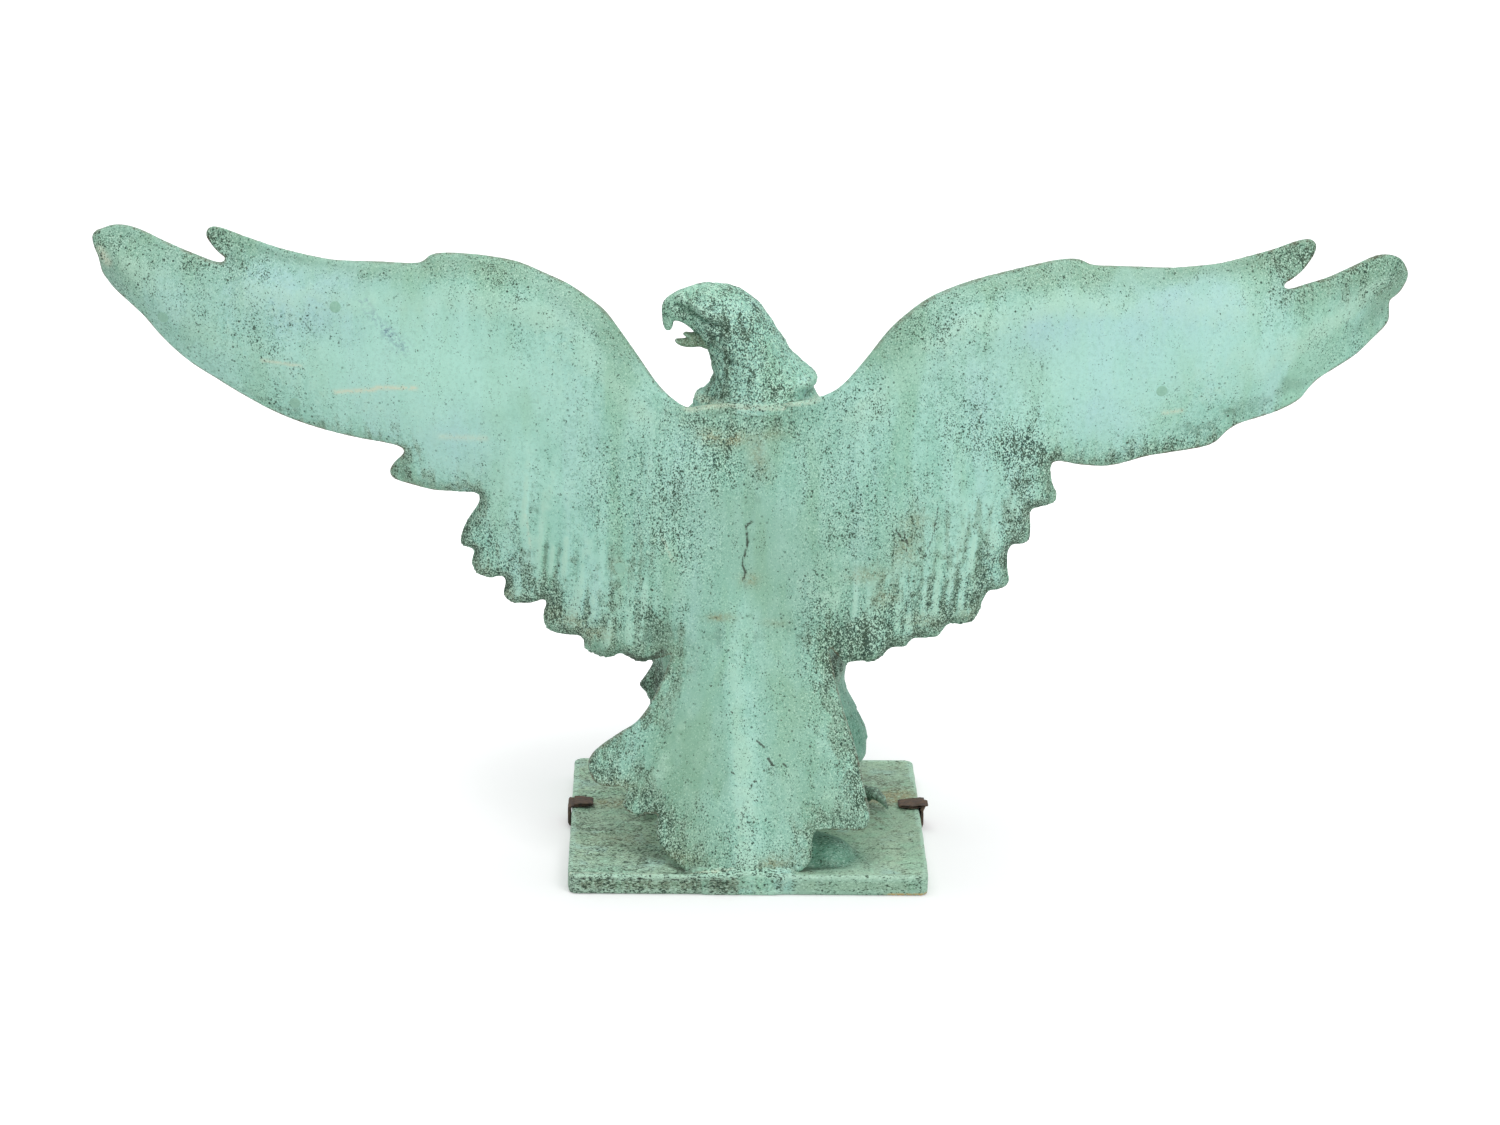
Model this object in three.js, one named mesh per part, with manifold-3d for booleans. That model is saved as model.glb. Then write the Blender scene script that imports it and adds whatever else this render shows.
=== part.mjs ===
// A cast bronze eagle with spread wings, standing on a square base plate: an architectural ornament
// made of separate sand castings that are screwed, pinned and bolted together.
// Millimetres, +Z up. The origin is the centre of the base plate's underside, the eagle faces -Y,
// so its own left wing reaches towards +X and its tail towards +Y.
import * as THREE from "three";
import { mergeVertices } from "three/addons/utils/BufferGeometryUtils.js";
import Module from "manifold-3d";

const wasm = await Module();
wasm.setup();

// Driving dimensions
const HALF_SPAN = 560; // spine to wing tip
const WING_TOP = 535; // ground to the top of the wing tips
const NECK_SEAM = WING_TOP * 0.7365; // ground to the seam under the neck
const TAIL_JOINT = WING_TOP * 0.3963; // ground to the seam between back and tail
const FIT_GAP = 0.3; // between two castings that meet
const CUT_OVERRUN = 2; // how far a cutting tool passes the face that it cuts
const HALF = 0.5;

// Base plate
const BASE_WIDTH = 305;
const BASE_DEPTH = 305;
const BASE_HEIGHT = 18;
const BASE_SLAB = 6.5; // top thickness over the hollow underside
const BASE_RIM = 9; // wall that the plate stands on
const BASE_CORNER = 9;
const BASE_BEVEL = 1.6;
const MOUND_HEIGHT = 24; // cast lump under the tail, above the plate
const MOUND_WIDTH = 118;
const MOUND_DEPTH = 62;
const MOUND_X = -26;
const MOUND_SETBACK = 64.5; // middle of the lump to the plate's rear edge
const MOUND_Y = BASE_DEPTH * HALF - MOUND_SETBACK;

// Torso
const TORSO_HALF_WIDTH = 86;
const TORSO_BACK = 55;
const TORSO_FRONT = 98;
const TORSO_WALL = 7;
const COLLAR_HEIGHT = 17; // spigot that the neck slips over
const COLLAR_HALF_WIDTH = 34;
const COLLAR_HALF_DEPTH = 27;
const BOSS_RADIUS = 10;
const BOSS_DEPTH = 14;

// Thighs and feet
const THIGH_HALF_WIDTH = 38; // at the hip
const THIGH_HALF_DEPTH = 42;
const HIP_HEIGHT = TAIL_JOINT * 0.967;
const LEFT_FOOT_X = 60;
const LEFT_FOOT_Y = -48;
const RIGHT_FOOT_X = -70;
const RIGHT_FOOT_Y = -54;
const ANKLE_HEIGHT = 56; // where the shank meets the feathered thigh
const SHANK_RADIUS = 13;
const SHANK_LENGTH = 44;
const TOE_LENGTH = 62;
const TOE_RADIUS = 9.5;
const CLAW_LENGTH = 26;
const STUD_RADIUS = 5;
const STUD_LENGTH = 88;
const WASHER_RADIUS = 11;
const WASHER_THICKNESS = 1.6;
const NUT_RADIUS = 9.2;
const NUT_THICKNESS = 5.5;

// Wings
const WING_BACK = 66; // depth of the back surface at the shoulder
const WING_SWEEP = 94; // how far the tips come forward of that
const WING_LEAN = 90; // forward lean of the spine over the wings' height
const WING_PLATE = 9;
const WING_EDGE = 5;
const ROOT_EXTRA = 15; // added thickness where the wing is bedded on the torso
const ARM_THICKNESS = 44; // swelling of the arm at the shoulder
const LEAD_DROP = 16;
const TRAIL_DROP = 18;
const FEATHER_RAISE = 3; // how far each flight feather stands proud of the wing's front
const FEATHER_THICKNESS = 7;

// Tail
const TAIL_END = 1; // ground to the tail's lowest point
const TAIL_PLATE = 11;
const TAIL_ROOT_EXTRA = 34;
const TAIL_ROOT_BACK = 70; // depth of the fan's middle at the joint
const TAIL_SETBACK = 3.7; // fan's end to the plate's rear edge
const TAIL_BACK = BASE_DEPTH * HALF - TAIL_SETBACK;
const TAIL_HALF_WIDTH = 137;
const TAIL_DROP = 44; // how far the fan's sides curl forward
const TAIL_RIB_HALF_WIDTH = 19;
const TAIL_RIB_RAISE = 3.5;

// Head
const HEAD_HEIGHT = 99; // neck seam to crown
const HEAD_TOP = NECK_SEAM + HEAD_HEIGHT;
const NECK_HALF_WIDTH = 52;
const NECK_HALF_DEPTH = 42;
const HEAD_WALL = 8;
const BEAK_REACH = 73; // spine to the front of the beak
const BEAK_ROOT_X = 36;
const BEAK_ROOT_RADIUS = 11.5;

// Fasteners and iron strap
const BOLT_HEAD_RADIUS = 7;
const BOLT_HEAD_DEPTH = 5;
const BOLT_RADIUS = 4;
const BOLT_LENGTH = 28;
const PIN_SINK = 0.4; // how far a neck pin's end lies below the surface
const TAIL_PIN_SPREAD = 22;
const TAIL_PIN_HEIGHT = 27;
const PIN_RADIUS = 3;
const PIN_LENGTH = 17;
const PLUG_RADIUS = 5;
const PLUG_DEPTH = 6;
const STRAP_WIDTH = 28;
const STRAP_THICKNESS = 2.6;
const STRAP_Y = -28;
const STRAP_LAP = 24; // how far each end reaches over the plate
const STRAP_BEND = 1.6; // inner bend radius
const STRAP_LIFT = 1.6; // opening between the folded layers
const STRAP_CLEARANCE = 0.4;

// Faces used to draw round shapes
const ROUND_FACES = 14;
const RING_FACES = 22;
const SMALL_FACES = 10;

// Colours
const verdigris = { color: 0x79b89c, roughness: 0.85, metalness: 0.1 };
const verdigrisDark = { color: 0x5f9a83, roughness: 0.9, metalness: 0.1 };
const bareBronze = { color: 0x8a6a3c, roughness: 0.6, metalness: 0.8 };
const rustyIron = { color: 0x4b3b34, roughness: 0.9, metalness: 0.4 };

// A three.js geometry as a solid for joining and cutting.
function solidOf(geometry) {
  const plain = geometry.index ? geometry.clone() : geometry;
  const bare = new THREE.BufferGeometry();
  bare.setAttribute("position", plain.getAttribute("position"));
  if (plain.index) bare.setIndex(plain.index);
  const merged = mergeVertices(bare, 1e-4);
  const triVerts = new Uint32Array(merged.index.array);
  const vertProperties = new Float32Array(merged.attributes.position.array);
  let solid = new wasm.Manifold(new wasm.Mesh({ numProp: 3, vertProperties, triVerts }));
  if (solid.volume() < 0) {
    for (let i = 0; i < triVerts.length; i += 3) {
      [triVerts[i + 1], triVerts[i + 2]] = [triVerts[i + 2], triVerts[i + 1]];
    }
    solid = new wasm.Manifold(new wasm.Mesh({ numProp: 3, vertProperties, triVerts }));
  }
  return solid;
}

// A solid back as a three.js geometry, keeping only its largest body.
function geometryOf(solid) {
  const largest = solid.decompose().reduce((a, b) => (b.volume() > a.volume() ? b : a));
  const mesh = largest.getMesh();
  const position = new Float32Array(mesh.numVert * 3);
  for (let i = 0; i < mesh.numVert; i += 1) {
    const from = i * mesh.numProp;
    position.set(mesh.vertProperties.subarray(from, from + 3), i * 3);
  }
  const geometry = new THREE.BufferGeometry();
  geometry.setAttribute("position", new THREE.BufferAttribute(position, 3));
  geometry.setIndex(new THREE.BufferAttribute(new Uint32Array(mesh.triVerts), 1));
  geometry.computeVertexNormals();
  return geometry;
}

// A closed solid through a row of rings, each the same number of points, capped at both ends.
function ringLoft(rings) {
  const count = rings[0].length;
  const points = rings.flat();
  const faces = [];
  for (let r = 0; r + 1 < rings.length; r += 1) {
    for (let i = 0; i < count; i += 1) {
      const next = (i + 1) % count;
      const a = r * count + i;
      const b = r * count + next;
      faces.push(a, b, b + count, a, b + count, a + count);
    }
  }
  const caps = [
    [0, true],
    [rings.length - 1, false],
  ];
  for (const [row, flip] of caps) {
    const middle = new THREE.Vector3();
    rings[row].forEach((p) => middle.addScaledVector(p, 1 / count));
    points.push(middle);
    for (let i = 0; i < count; i += 1) {
      const a = row * count + i;
      const b = row * count + ((i + 1) % count);
      faces.push(points.length - 1, flip ? b : a, flip ? a : b);
    }
  }
  const geometry = new THREE.BufferGeometry().setFromPoints(points);
  geometry.setIndex(faces);
  return solidOf(geometry);
}

// A closed plate between two grids of points with the same rows and columns.
function sheetLoft(back, front) {
  const rows = back.length;
  const columns = back[0].length;
  const points = [...back.flat(), ...front.flat()];
  const offset = rows * columns;
  const at = (r, c) => r * columns + c;
  const faces = [];
  const quad = (a, b, c, d) => faces.push(a, b, c, a, c, d);
  for (let r = 0; r + 1 < rows; r += 1) {
    for (let c = 0; c + 1 < columns; c += 1) {
      quad(at(r, c), at(r + 1, c), at(r + 1, c + 1), at(r, c + 1));
      quad(offset + at(r, c), offset + at(r, c + 1), offset + at(r + 1, c + 1), offset + at(r + 1, c));
    }
  }
  for (let r = 0; r + 1 < rows; r += 1) {
    quad(at(r, 0), offset + at(r, 0), offset + at(r + 1, 0), at(r + 1, 0));
    const c = columns - 1;
    quad(at(r, c), at(r + 1, c), offset + at(r + 1, c), offset + at(r, c));
  }
  for (let c = 0; c + 1 < columns; c += 1) {
    quad(at(0, c), at(0, c + 1), offset + at(0, c + 1), offset + at(0, c));
    const r = rows - 1;
    quad(at(r, c), offset + at(r, c), offset + at(r, c + 1), at(r, c + 1));
  }
  const geometry = new THREE.BufferGeometry().setFromPoints(points);
  geometry.setIndex(faces);
  return solidOf(geometry);
}

// The value of a table of [place, value] rows at a place, in straight runs.
function valueAt(table, place) {
  if (place <= table[0][0]) return table[0][1];
  for (let i = 1; i < table.length; i += 1) {
    if (place <= table[i][0]) {
      const share = (place - table[i - 1][0]) / (table[i][0] - table[i - 1][0]);
      return THREE.MathUtils.lerp(table[i - 1][1], table[i][1], share);
    }
  }
  return table[table.length - 1][1];
}

// One flat oval ring at a height, with its own half sizes to the sides, the back and the front.
function ovalRing(x, y, z, halfX, back, front, power = 2) {
  return Array.from({ length: RING_FACES }, (_, i) => {
    const angle = (i / RING_FACES) * Math.PI * 2;
    const c = Math.cos(angle);
    const s = Math.sin(angle);
    const px = Math.sign(c) * Math.abs(c) ** (2 / power) * halfX;
    const py = Math.sign(s) * Math.abs(s) ** (2 / power) * (s > 0 ? back : front);
    return new THREE.Vector3(x + px, y + py, z);
  });
}

// A tapering limb: round rings along a smooth path, each with a radius and a flattening.
function limb(path, radii, steps, faces = SMALL_FACES, flatten = 1, grow = 0) {
  const curve = new THREE.CatmullRomCurve3(path);
  const table = radii.map((radius, i) => [i / (radii.length - 1), radius]);
  const rings = [];
  for (let i = 0; i <= steps; i += 1) {
    const share = i / steps;
    const middle = curve.getPoint(share);
    const along = curve.getTangent(share);
    const side = new THREE.Vector3(0, 0, 1).cross(along);
    if (side.length() < 0.1) side.set(1, 0, 0);
    side.normalize();
    const over = new THREE.Vector3().crossVectors(along, side).normalize();
    const radius = valueAt(table, share) + grow;
    rings.push(
      Array.from({ length: faces }, (_, k) => {
        const angle = (k / faces) * Math.PI * 2;
        return middle
          .clone()
          .addScaledVector(side, Math.cos(angle) * radius)
          .addScaledVector(over, Math.sin(angle) * radius * flatten);
      }),
    );
  }
  return ringLoft(rings);
}

// A round bar from one point along a direction.
function bar(start, direction, length, radius, endRadius = radius) {
  const geometry = new THREE.CylinderGeometry(endRadius, radius, length, ROUND_FACES);
  geometry.translate(0, length * HALF, 0);
  const turn = new THREE.Quaternion().setFromUnitVectors(
    new THREE.Vector3(0, 1, 0),
    direction.clone().normalize(),
  );
  geometry.applyQuaternion(turn);
  geometry.translate(start.x, start.y, start.z);
  return solidOf(geometry);
}

// A box from its lowest to its highest corner.
function block(low, high) {
  const size = high.clone().sub(low);
  const middle = low.clone().add(high).multiplyScalar(HALF);
  const geometry = new THREE.BoxGeometry(size.x, size.y, size.z);
  geometry.translate(middle.x, middle.y, middle.z);
  return solidOf(geometry);
}

const v = (x, y, z) => new THREE.Vector3(x, y, z);

// The middle of a foot at ground level. side is 1 for the eagle's left, -1 for its right.
function footPlace(side) {
  return side > 0 ? v(LEFT_FOOT_X, LEFT_FOOT_Y, 0) : v(RIGHT_FOOT_X, RIGHT_FOOT_Y, 0);
}

// Torso sections: height as a share of the neck seam, then shares of the half width, the back and the front.
const TORSO_SHARES = [
  [0.32, 0.42, 0.62, 0.4],
  [0.36, 0.66, 0.82, 0.58],
  [0.42, 0.82, 0.94, 0.74],
  [0.51, 0.94, 1.0, 0.88],
  [0.6, 0.99, 0.98, 0.96],
  [0.69, 1.0, 0.93, 1.0],
  [0.78, 0.99, 0.82, 0.98],
  [0.86, 0.93, 0.7, 0.88],
  [0.93, 0.76, 0.57, 0.68],
  [1.0, 0.57, 0.5, 0.42],
];
const TORSO_POWER = 2.3;

// The egg of the torso, grown or shrunk all round.
function torsoEgg(grow) {
  const lastRow = TORSO_SHARES.length - 1;
  const rings = TORSO_SHARES.map(([height, wide, back, front], i) => {
    const endShift = i === 0 ? -grow : i === lastRow ? grow : 0;
    return ovalRing(
      0,
      0,
      height * NECK_SEAM + endShift,
      wide * TORSO_HALF_WIDTH + grow,
      back * TORSO_BACK + grow,
      front * TORSO_FRONT + grow,
      TORSO_POWER,
    );
  });
  return ringLoft(rings);
}

// Thigh sections: height, middle x and middle y, half width and half depth,
// as shares of the hip height, the foot's x and y, the hip's half width and the hip's half depth.
const LEFT_THIGH_SHARES = [
  [1.0, 0.66, 0.37, 1.0, 0.95],
  [0.85, 0.84, 0.5, 0.95, 1.0],
  [0.73, 0.9, 0.63, 0.87, 0.95],
  [0.625, 0.96, 0.71, 0.86, 0.88],
  [0.55, 0.94, 0.8, 0.71, 0.79],
  [0.44, 0.97, 0.92, 0.63, 0.71],
  [0.32, 1.0, 1.0, 0.68, 0.71],
  [0.25, 1.0, 1.0, 0.62, 0.66],
];
const RIGHT_THIGH_SHARES = [
  [1.0, 0.57, 0.33, 1.0, 0.95],
  [0.85, 0.71, 0.44, 0.95, 1.0],
  [0.73, 0.77, 0.59, 0.82, 0.95],
  [0.625, 0.8, 0.74, 0.7, 0.86],
  [0.51, 0.89, 0.85, 0.79, 0.83],
  [0.39, 0.99, 0.96, 0.89, 0.86],
  [0.3, 1.0, 1.0, 0.89, 0.83],
  [0.24, 1.0, 1.0, 0.8, 0.76],
];

// A feathered thigh from the hip to its lower hem, grown all round.
function thigh(side, grow) {
  const rows = side > 0 ? LEFT_THIGH_SHARES : RIGHT_THIGH_SHARES;
  const foot = footPlace(side);
  const last = rows.length - 1;
  const rings = rows.map(([height, x, y, wide, deep], i) =>
    ovalRing(
      foot.x * x,
      foot.y * y,
      height * HIP_HEIGHT + (i === 0 ? grow : i === last ? -grow : 0),
      wide * THIGH_HALF_WIDTH + grow,
      deep * THIGH_HALF_DEPTH + grow,
      deep * THIGH_HALF_DEPTH + grow,
    ),
  );
  return ringLoft(rings.reverse());
}

const torsoFull = (grow) => torsoEgg(grow).add(thigh(1, grow)).add(thigh(-1, grow));

// The spigot on top of the torso, or the bore that takes it.
function collar(grow, bottom, top) {
  const rings = [bottom, top].map((z) =>
    ovalRing(0, 0, z, COLLAR_HALF_WIDTH + grow, COLLAR_HALF_DEPTH + grow, COLLAR_HALF_DEPTH + grow),
  );
  return ringLoft(rings);
}

// Wing outlines, as shares of the half span and of the wing top's height.
// Each row joins a point on the leading edge to one on the trailing edge, from the tip inwards.
const LEFT_WING_SHARES = [
  [1, 0.97, 0.999, 0.958],
  [0.994, 0.981, 0.989, 0.908],
  [0.972, 0.987, 0.971, 0.878],
  [0.952, 0.989, 0.951, 0.859],
  [0.928, 0.983, 0.926, 0.842],
  [0.889, 0.967, 0.890, 0.796],
  [0.843, 0.950, 0.841, 0.767],
  [0.800, 0.943, 0.790, 0.734],
  [0.754, 0.942, 0.726, 0.701],
  [0.712, 0.942, 0.667, 0.680],
  [0.659, 0.945, 0.593, 0.667],
  [0.614, 0.947, 0.538, 0.658],
  [0.560, 0.950, 0.474, 0.616],
  [0.502, 0.951, 0.418, 0.584],
  [0.487, 0.962, 0.403, 0.556],
  [0.464, 0.967, 0.385, 0.518],
  [0.395, 0.965, 0.354, 0.453],
  [0.350, 0.956, 0.308, 0.414],
  [0.276, 0.923, 0.257, 0.366],
  [0.242, 0.897, 0.225, 0.350],
  [0.205, 0.854, 0.196, 0.338],
  [0.168, 0.806, 0.169, 0.334],
  [0.137, 0.759, 0.143, 0.335],
  [0.117, 0.738, 0.121, 0.360],
  [0.098, 0.727, 0.111, 0.398],
  [0.05, 0.736, 0.055, 0.397],
  [0, 0.736, 0, 0.397],
];
const RIGHT_WING_SHARES = [
  [0.996, 0.938, 1.000, 0.92],
  [0.99, 0.953, 0.995, 0.89],
  [0.964, 0.961, 0.979, 0.875],
  [0.946, 0.959, 0.979, 0.853],
  [0.908, 0.943, 0.972, 0.834],
  [0.871, 0.928, 0.928, 0.788],
  [0.838, 0.919, 0.869, 0.752],
  [0.811, 0.913, 0.844, 0.720],
  [0.779, 0.923, 0.813, 0.703],
  [0.745, 0.936, 0.746, 0.684],
  [0.701, 0.945, 0.715, 0.656],
  [0.665, 0.950, 0.687, 0.648],
  [0.602, 0.951, 0.606, 0.645],
  [0.547, 0.952, 0.544, 0.632],
  [0.507, 0.957, 0.458, 0.644],
  [0.486, 0.966, 0.439, 0.597],
  [0.430, 0.959, 0.400, 0.513],
  [0.381, 0.948, 0.376, 0.428],
  [0.328, 0.933, 0.330, 0.373],
  [0.264, 0.905, 0.270, 0.357],
  [0.205, 0.850, 0.214, 0.351],
  [0.171, 0.803, 0.184, 0.341],
  [0.138, 0.764, 0.158, 0.336],
  [0.117, 0.744, 0.126, 0.368],
  [0.102, 0.736, 0.122, 0.398],
  [0.05, 0.737, 0.06, 0.397],
  [0, 0.736, 0, 0.397],
];
const SWEEP_SHARES = [
  [0, 0.07],
  [0.05, 0.03],
  [0.11, 0],
  [0.22, 0.07],
  [0.36, 0.22],
  [0.54, 0.42],
  [0.72, 0.63],
  [0.9, 0.86],
  [1, 1],
];
const ARM_SHARES = [
  [0, 1],
  [0.16, 1],
  [0.26, 0.72],
  [0.4, 0.46],
  [0.6, 0.26],
  [0.85, 0.12],
  [1, 0.06],
];
const LEAD_LINE_SHARES = [
  [0, 0.745],
  [0.1, 0.75],
  [0.2, 0.868],
  [0.28, 0.935],
  [0.4, 0.972],
  [0.6, 0.958],
  [0.8, 0.95],
  [1, 0.985],
];
const TRAIL_LINE_SHARES = [
  [0, 0.397],
  [0.13, 0.335],
  [0.26, 0.36],
  [0.4, 0.5],
  [0.54, 0.63],
  [0.73, 0.71],
  [0.87, 0.79],
  [1, 0.93],
];
const CHORD_SHARES = [0, 0.02, 0.08, 0.18, 0.34, 0.58, 0.85, 1];
const ARM_PLACE_SHARE = 0.15;
const ARM_SPREAD_SHARE = 0.15;
const NOSE_SHARE = 0.08;
const LEAD_DROP_SHARE = 0.3;
const TRAIL_DROP_SHARE = 0.5;
const LEAN_LEVEL_SHARE = 0.52;
const LEAN_REACH_SHARE = 0.3;
const ROOT_INNER_SHARE = 0.1;
const ROOT_OUTER_SHARE = 0.22;

// How far down the chord a place lies: 0 on the leading edge, 1 on the trailing edge.
function chordShare(x, z) {
  const out = Math.min(Math.abs(x) / HALF_SPAN, 1);
  const lead = valueAt(LEAD_LINE_SHARES, out) * WING_TOP;
  const trail = valueAt(TRAIL_LINE_SHARES, out) * WING_TOP;
  return THREE.MathUtils.clamp((lead - z) / (lead - trail), 0, 1.2);
}

// Depth of the wings' back surface.
function wingBack(x, z) {
  const out = Math.min(Math.abs(x) / HALF_SPAN, 1);
  const chord = chordShare(x, z);
  const sweep = valueAt(SWEEP_SHARES, out) * WING_SWEEP;
  const leadCurl = LEAD_DROP * Math.max(0, 1 - chord / LEAD_DROP_SHARE) ** 2;
  const trailCurl = TRAIL_DROP * Math.max(0, (chord - TRAIL_DROP_SHARE) / (1 - TRAIL_DROP_SHARE)) ** 2;
  const near = Math.max(0, 1 - out / LEAN_REACH_SHARE);
  const lean = WING_LEAN * (LEAN_LEVEL_SHARE - z / WING_TOP) * near;
  return WING_BACK - sweep - leadCurl * (1 - near) - trailCurl * (1 - near) + lean;
}

// Thickness of the wing behind that surface.
function wingThickness(x, z, chord) {
  const out = Math.min(Math.abs(x) / HALF_SPAN, 1);
  const swell = Math.exp(-(((chord - ARM_PLACE_SHARE) / ARM_SPREAD_SHARE) ** 2));
  const arm = ARM_THICKNESS * valueAt(ARM_SHARES, out) * swell;
  const rootReach = ROOT_OUTER_SHARE - ROOT_INNER_SHARE;
  const rootPlace = THREE.MathUtils.clamp((out - ROOT_INNER_SHARE) / rootReach, 0, 1);
  const root = ROOT_EXTRA * (1 - rootPlace);
  const nose = Math.sqrt(1 - (1 - Math.min(chord / NOSE_SHARE, 1)) ** 2);
  const edge = THREE.MathUtils.lerp(WING_PLATE, WING_EDGE, THREE.MathUtils.smoothstep(chord, 0.7, 1));
  return Math.max(WING_EDGE * HALF, (edge + arm + root) * nose);
}

// The curved plate of one wing, with its swelling arm. side is 1 for the eagle's left.
function wingPlate(side, rows) {
  const back = [];
  const front = [];
  for (const [leadX, leadZ, trailX, trailZ] of rows) {
    const backRow = [];
    const frontRow = [];
    for (const share of CHORD_SHARES) {
      const x = THREE.MathUtils.lerp(leadX, trailX, share) * HALF_SPAN;
      const z = THREE.MathUtils.lerp(leadZ, trailZ, share) * WING_TOP;
      const surface = wingBack(x, z);
      const thickness = wingThickness(x, z, share);
      const nose = Math.max(0, 1 - share / NOSE_SHARE) ** 2;
      const full = wingThickness(x, z, NOSE_SHARE);
      const tuck = (full * HALF - thickness * HALF) * (nose > 0 ? 1 : 0);
      backRow.push(v(side * x, surface - tuck, z));
      frontRow.push(v(side * x, surface - tuck - thickness, z));
    }
    back.push(backRow);
    front.push(frontRow);
  }
  return sheetLoft(back, front);
}

// Flight feathers: root x and height, tip x and height, and width. Heights are shares of the wing top,
// the others of the half span.
const LEFT_FEATHER_SHARES = [
  [0.6, 0.9, 0.824, 0.98, 0.042],
  [0.33, 0.64, 0.542, 0.622, 0.056],
  [0.33, 0.72, 0.424, 0.495, 0.076],
  [0.29, 0.68, 0.408, 0.45, 0.074],
  [0.25, 0.66, 0.362, 0.404, 0.072],
  [0.21, 0.64, 0.302, 0.362, 0.07],
  [0.18, 0.62, 0.243, 0.33, 0.072],
  [0.15, 0.6, 0.178, 0.327, 0.07],
];
const RIGHT_FEATHER_SHARES = [
  [0.6, 0.89, 0.851, 0.968, 0.046],
  [0.32, 0.78, 0.446, 0.577, 0.078],
  [0.3, 0.74, 0.41, 0.505, 0.076],
  [0.27, 0.7, 0.378, 0.431, 0.076],
  [0.24, 0.68, 0.328, 0.374, 0.072],
  [0.2, 0.66, 0.27, 0.364, 0.066],
  [0.17, 0.64, 0.224, 0.352, 0.062],
  [0.14, 0.6, 0.18, 0.326, 0.062],
];
// Half width of a feather along its length.
const FEATHER_WIDTH_SHARES = [
  [0, 0.4],
  [0.25, 0.8],
  [0.6, 1],
  [0.86, 0.98],
  [0.94, 0.8],
  [0.985, 0.42],
  [1, 0.12],
];
const FEATHER_PLACES = [0, 0.3, 0.6, 0.84, 0.94, 0.985, 1];
const FEATHER_ACROSS = [-1, -0.55, 0, 0.55, 1];

// One flight feather, bent to a surface given as a function of x and z.
function feather(surface, side, row, sink, raise) {
  const [rootX, rootZ, tipX, tipZ, width] = row;
  const root = new THREE.Vector2(rootX * HALF_SPAN, rootZ * WING_TOP);
  const tip = new THREE.Vector2(tipX * HALF_SPAN, tipZ * WING_TOP);
  const along = tip.clone().sub(root);
  const across = new THREE.Vector2(-along.y, along.x).normalize();
  const back = [];
  const front = [];
  for (const place of FEATHER_PLACES) {
    const half = valueAt(FEATHER_WIDTH_SHARES, place) * width * HALF_SPAN * HALF;
    const middle = root.clone().addScaledVector(along, place);
    const points = FEATHER_ACROSS.map((share) => middle.clone().addScaledVector(across, share * half));
    back.push(points.map((p) => v(side * p.x, surface(p.x, p.y) - sink, p.y)));
    front.push(
      points.map((p, i) => {
        const crown = raise * (1 - Math.abs(FEATHER_ACROSS[i])) * HALF;
        return v(side * p.x, surface(p.x, p.y) - sink - FEATHER_THICKNESS - raise - crown, p.y);
      }),
    );
  }
  return sheetLoft(back, front);
}

const WING_SINK = 0.6; // a feather's back lies this far inside the wing's smooth back

function wingCasting(side, rows, feathers) {
  let solid = wingPlate(side, rows);
  for (const row of feathers) {
    solid = solid.add(feather((x, z) => wingBack(x, z), side, row, WING_SINK, FEATHER_RAISE));
  }
  return solid;
}

// The tail's fan. Its middle line runs back and down from the joint to the plate's rear edge.
const TAIL_LINE_SHARES = [
  [0, 0],
  [0.1, 0.075],
  [0.3, 0.301],
  [0.5, 0.566],
  [0.72, 0.811],
  [0.86, 0.924],
  [1, 1],
];

function tailBack(x, z) {
  const down = THREE.MathUtils.clamp((TAIL_JOINT - z) / (TAIL_JOINT - TAIL_END), 0, 1);
  const line = TAIL_ROOT_BACK + valueAt(TAIL_LINE_SHARES, down) * (TAIL_BACK - TAIL_ROOT_BACK);
  const out = Math.min(Math.abs(x) / TAIL_HALF_WIDTH, 1);
  return line - TAIL_DROP * out ** 1.7;
}

// Fan outline: height as a share of the joint's, then left and right reach as shares of the half width.
const TAIL_OUTLINE_SHARES = [
  [1.0, 0.44, 0.5],
  [0.9, 0.45, 0.5],
  [0.74, 0.53, 0.53],
  [0.62, 0.6, 0.57],
  [0.52, 0.64, 0.61],
  [0.4, 0.62, 0.62],
  [0.27, 0.52, 0.56],
  [0.15, 0.42, 0.44],
  [0.08, 0.36, 0.36],
  [0.005, 0.34, 0.34],
];
const TAIL_ACROSS = [-1, -0.7, -0.35, 0, 0.35, 0.7, 1];

function tailPlate(grow) {
  const back = [];
  const front = [];
  const last = TAIL_OUTLINE_SHARES.length - 1;
  TAIL_OUTLINE_SHARES.forEach(([height, left, right], i) => {
    const z = height * TAIL_JOINT + (i === 0 ? grow : i === last ? -grow : 0);
    const rootPlace = THREE.MathUtils.clamp((height - 0.72) / 0.16, 0, 1);
    const thickness = TAIL_PLATE + TAIL_ROOT_EXTRA * rootPlace;
    const backRow = [];
    const frontRow = [];
    for (const share of TAIL_ACROSS) {
      const reach = (share < 0 ? right : left) * TAIL_HALF_WIDTH + grow;
      const x = share * reach;
      const surface = tailBack(x, height * TAIL_JOINT);
      backRow.push(v(x, surface + grow, z));
      frontRow.push(v(x, surface - thickness - grow, z));
    }
    back.push(backRow);
    front.push(frontRow);
  });
  return sheetLoft(back, front);
}

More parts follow.
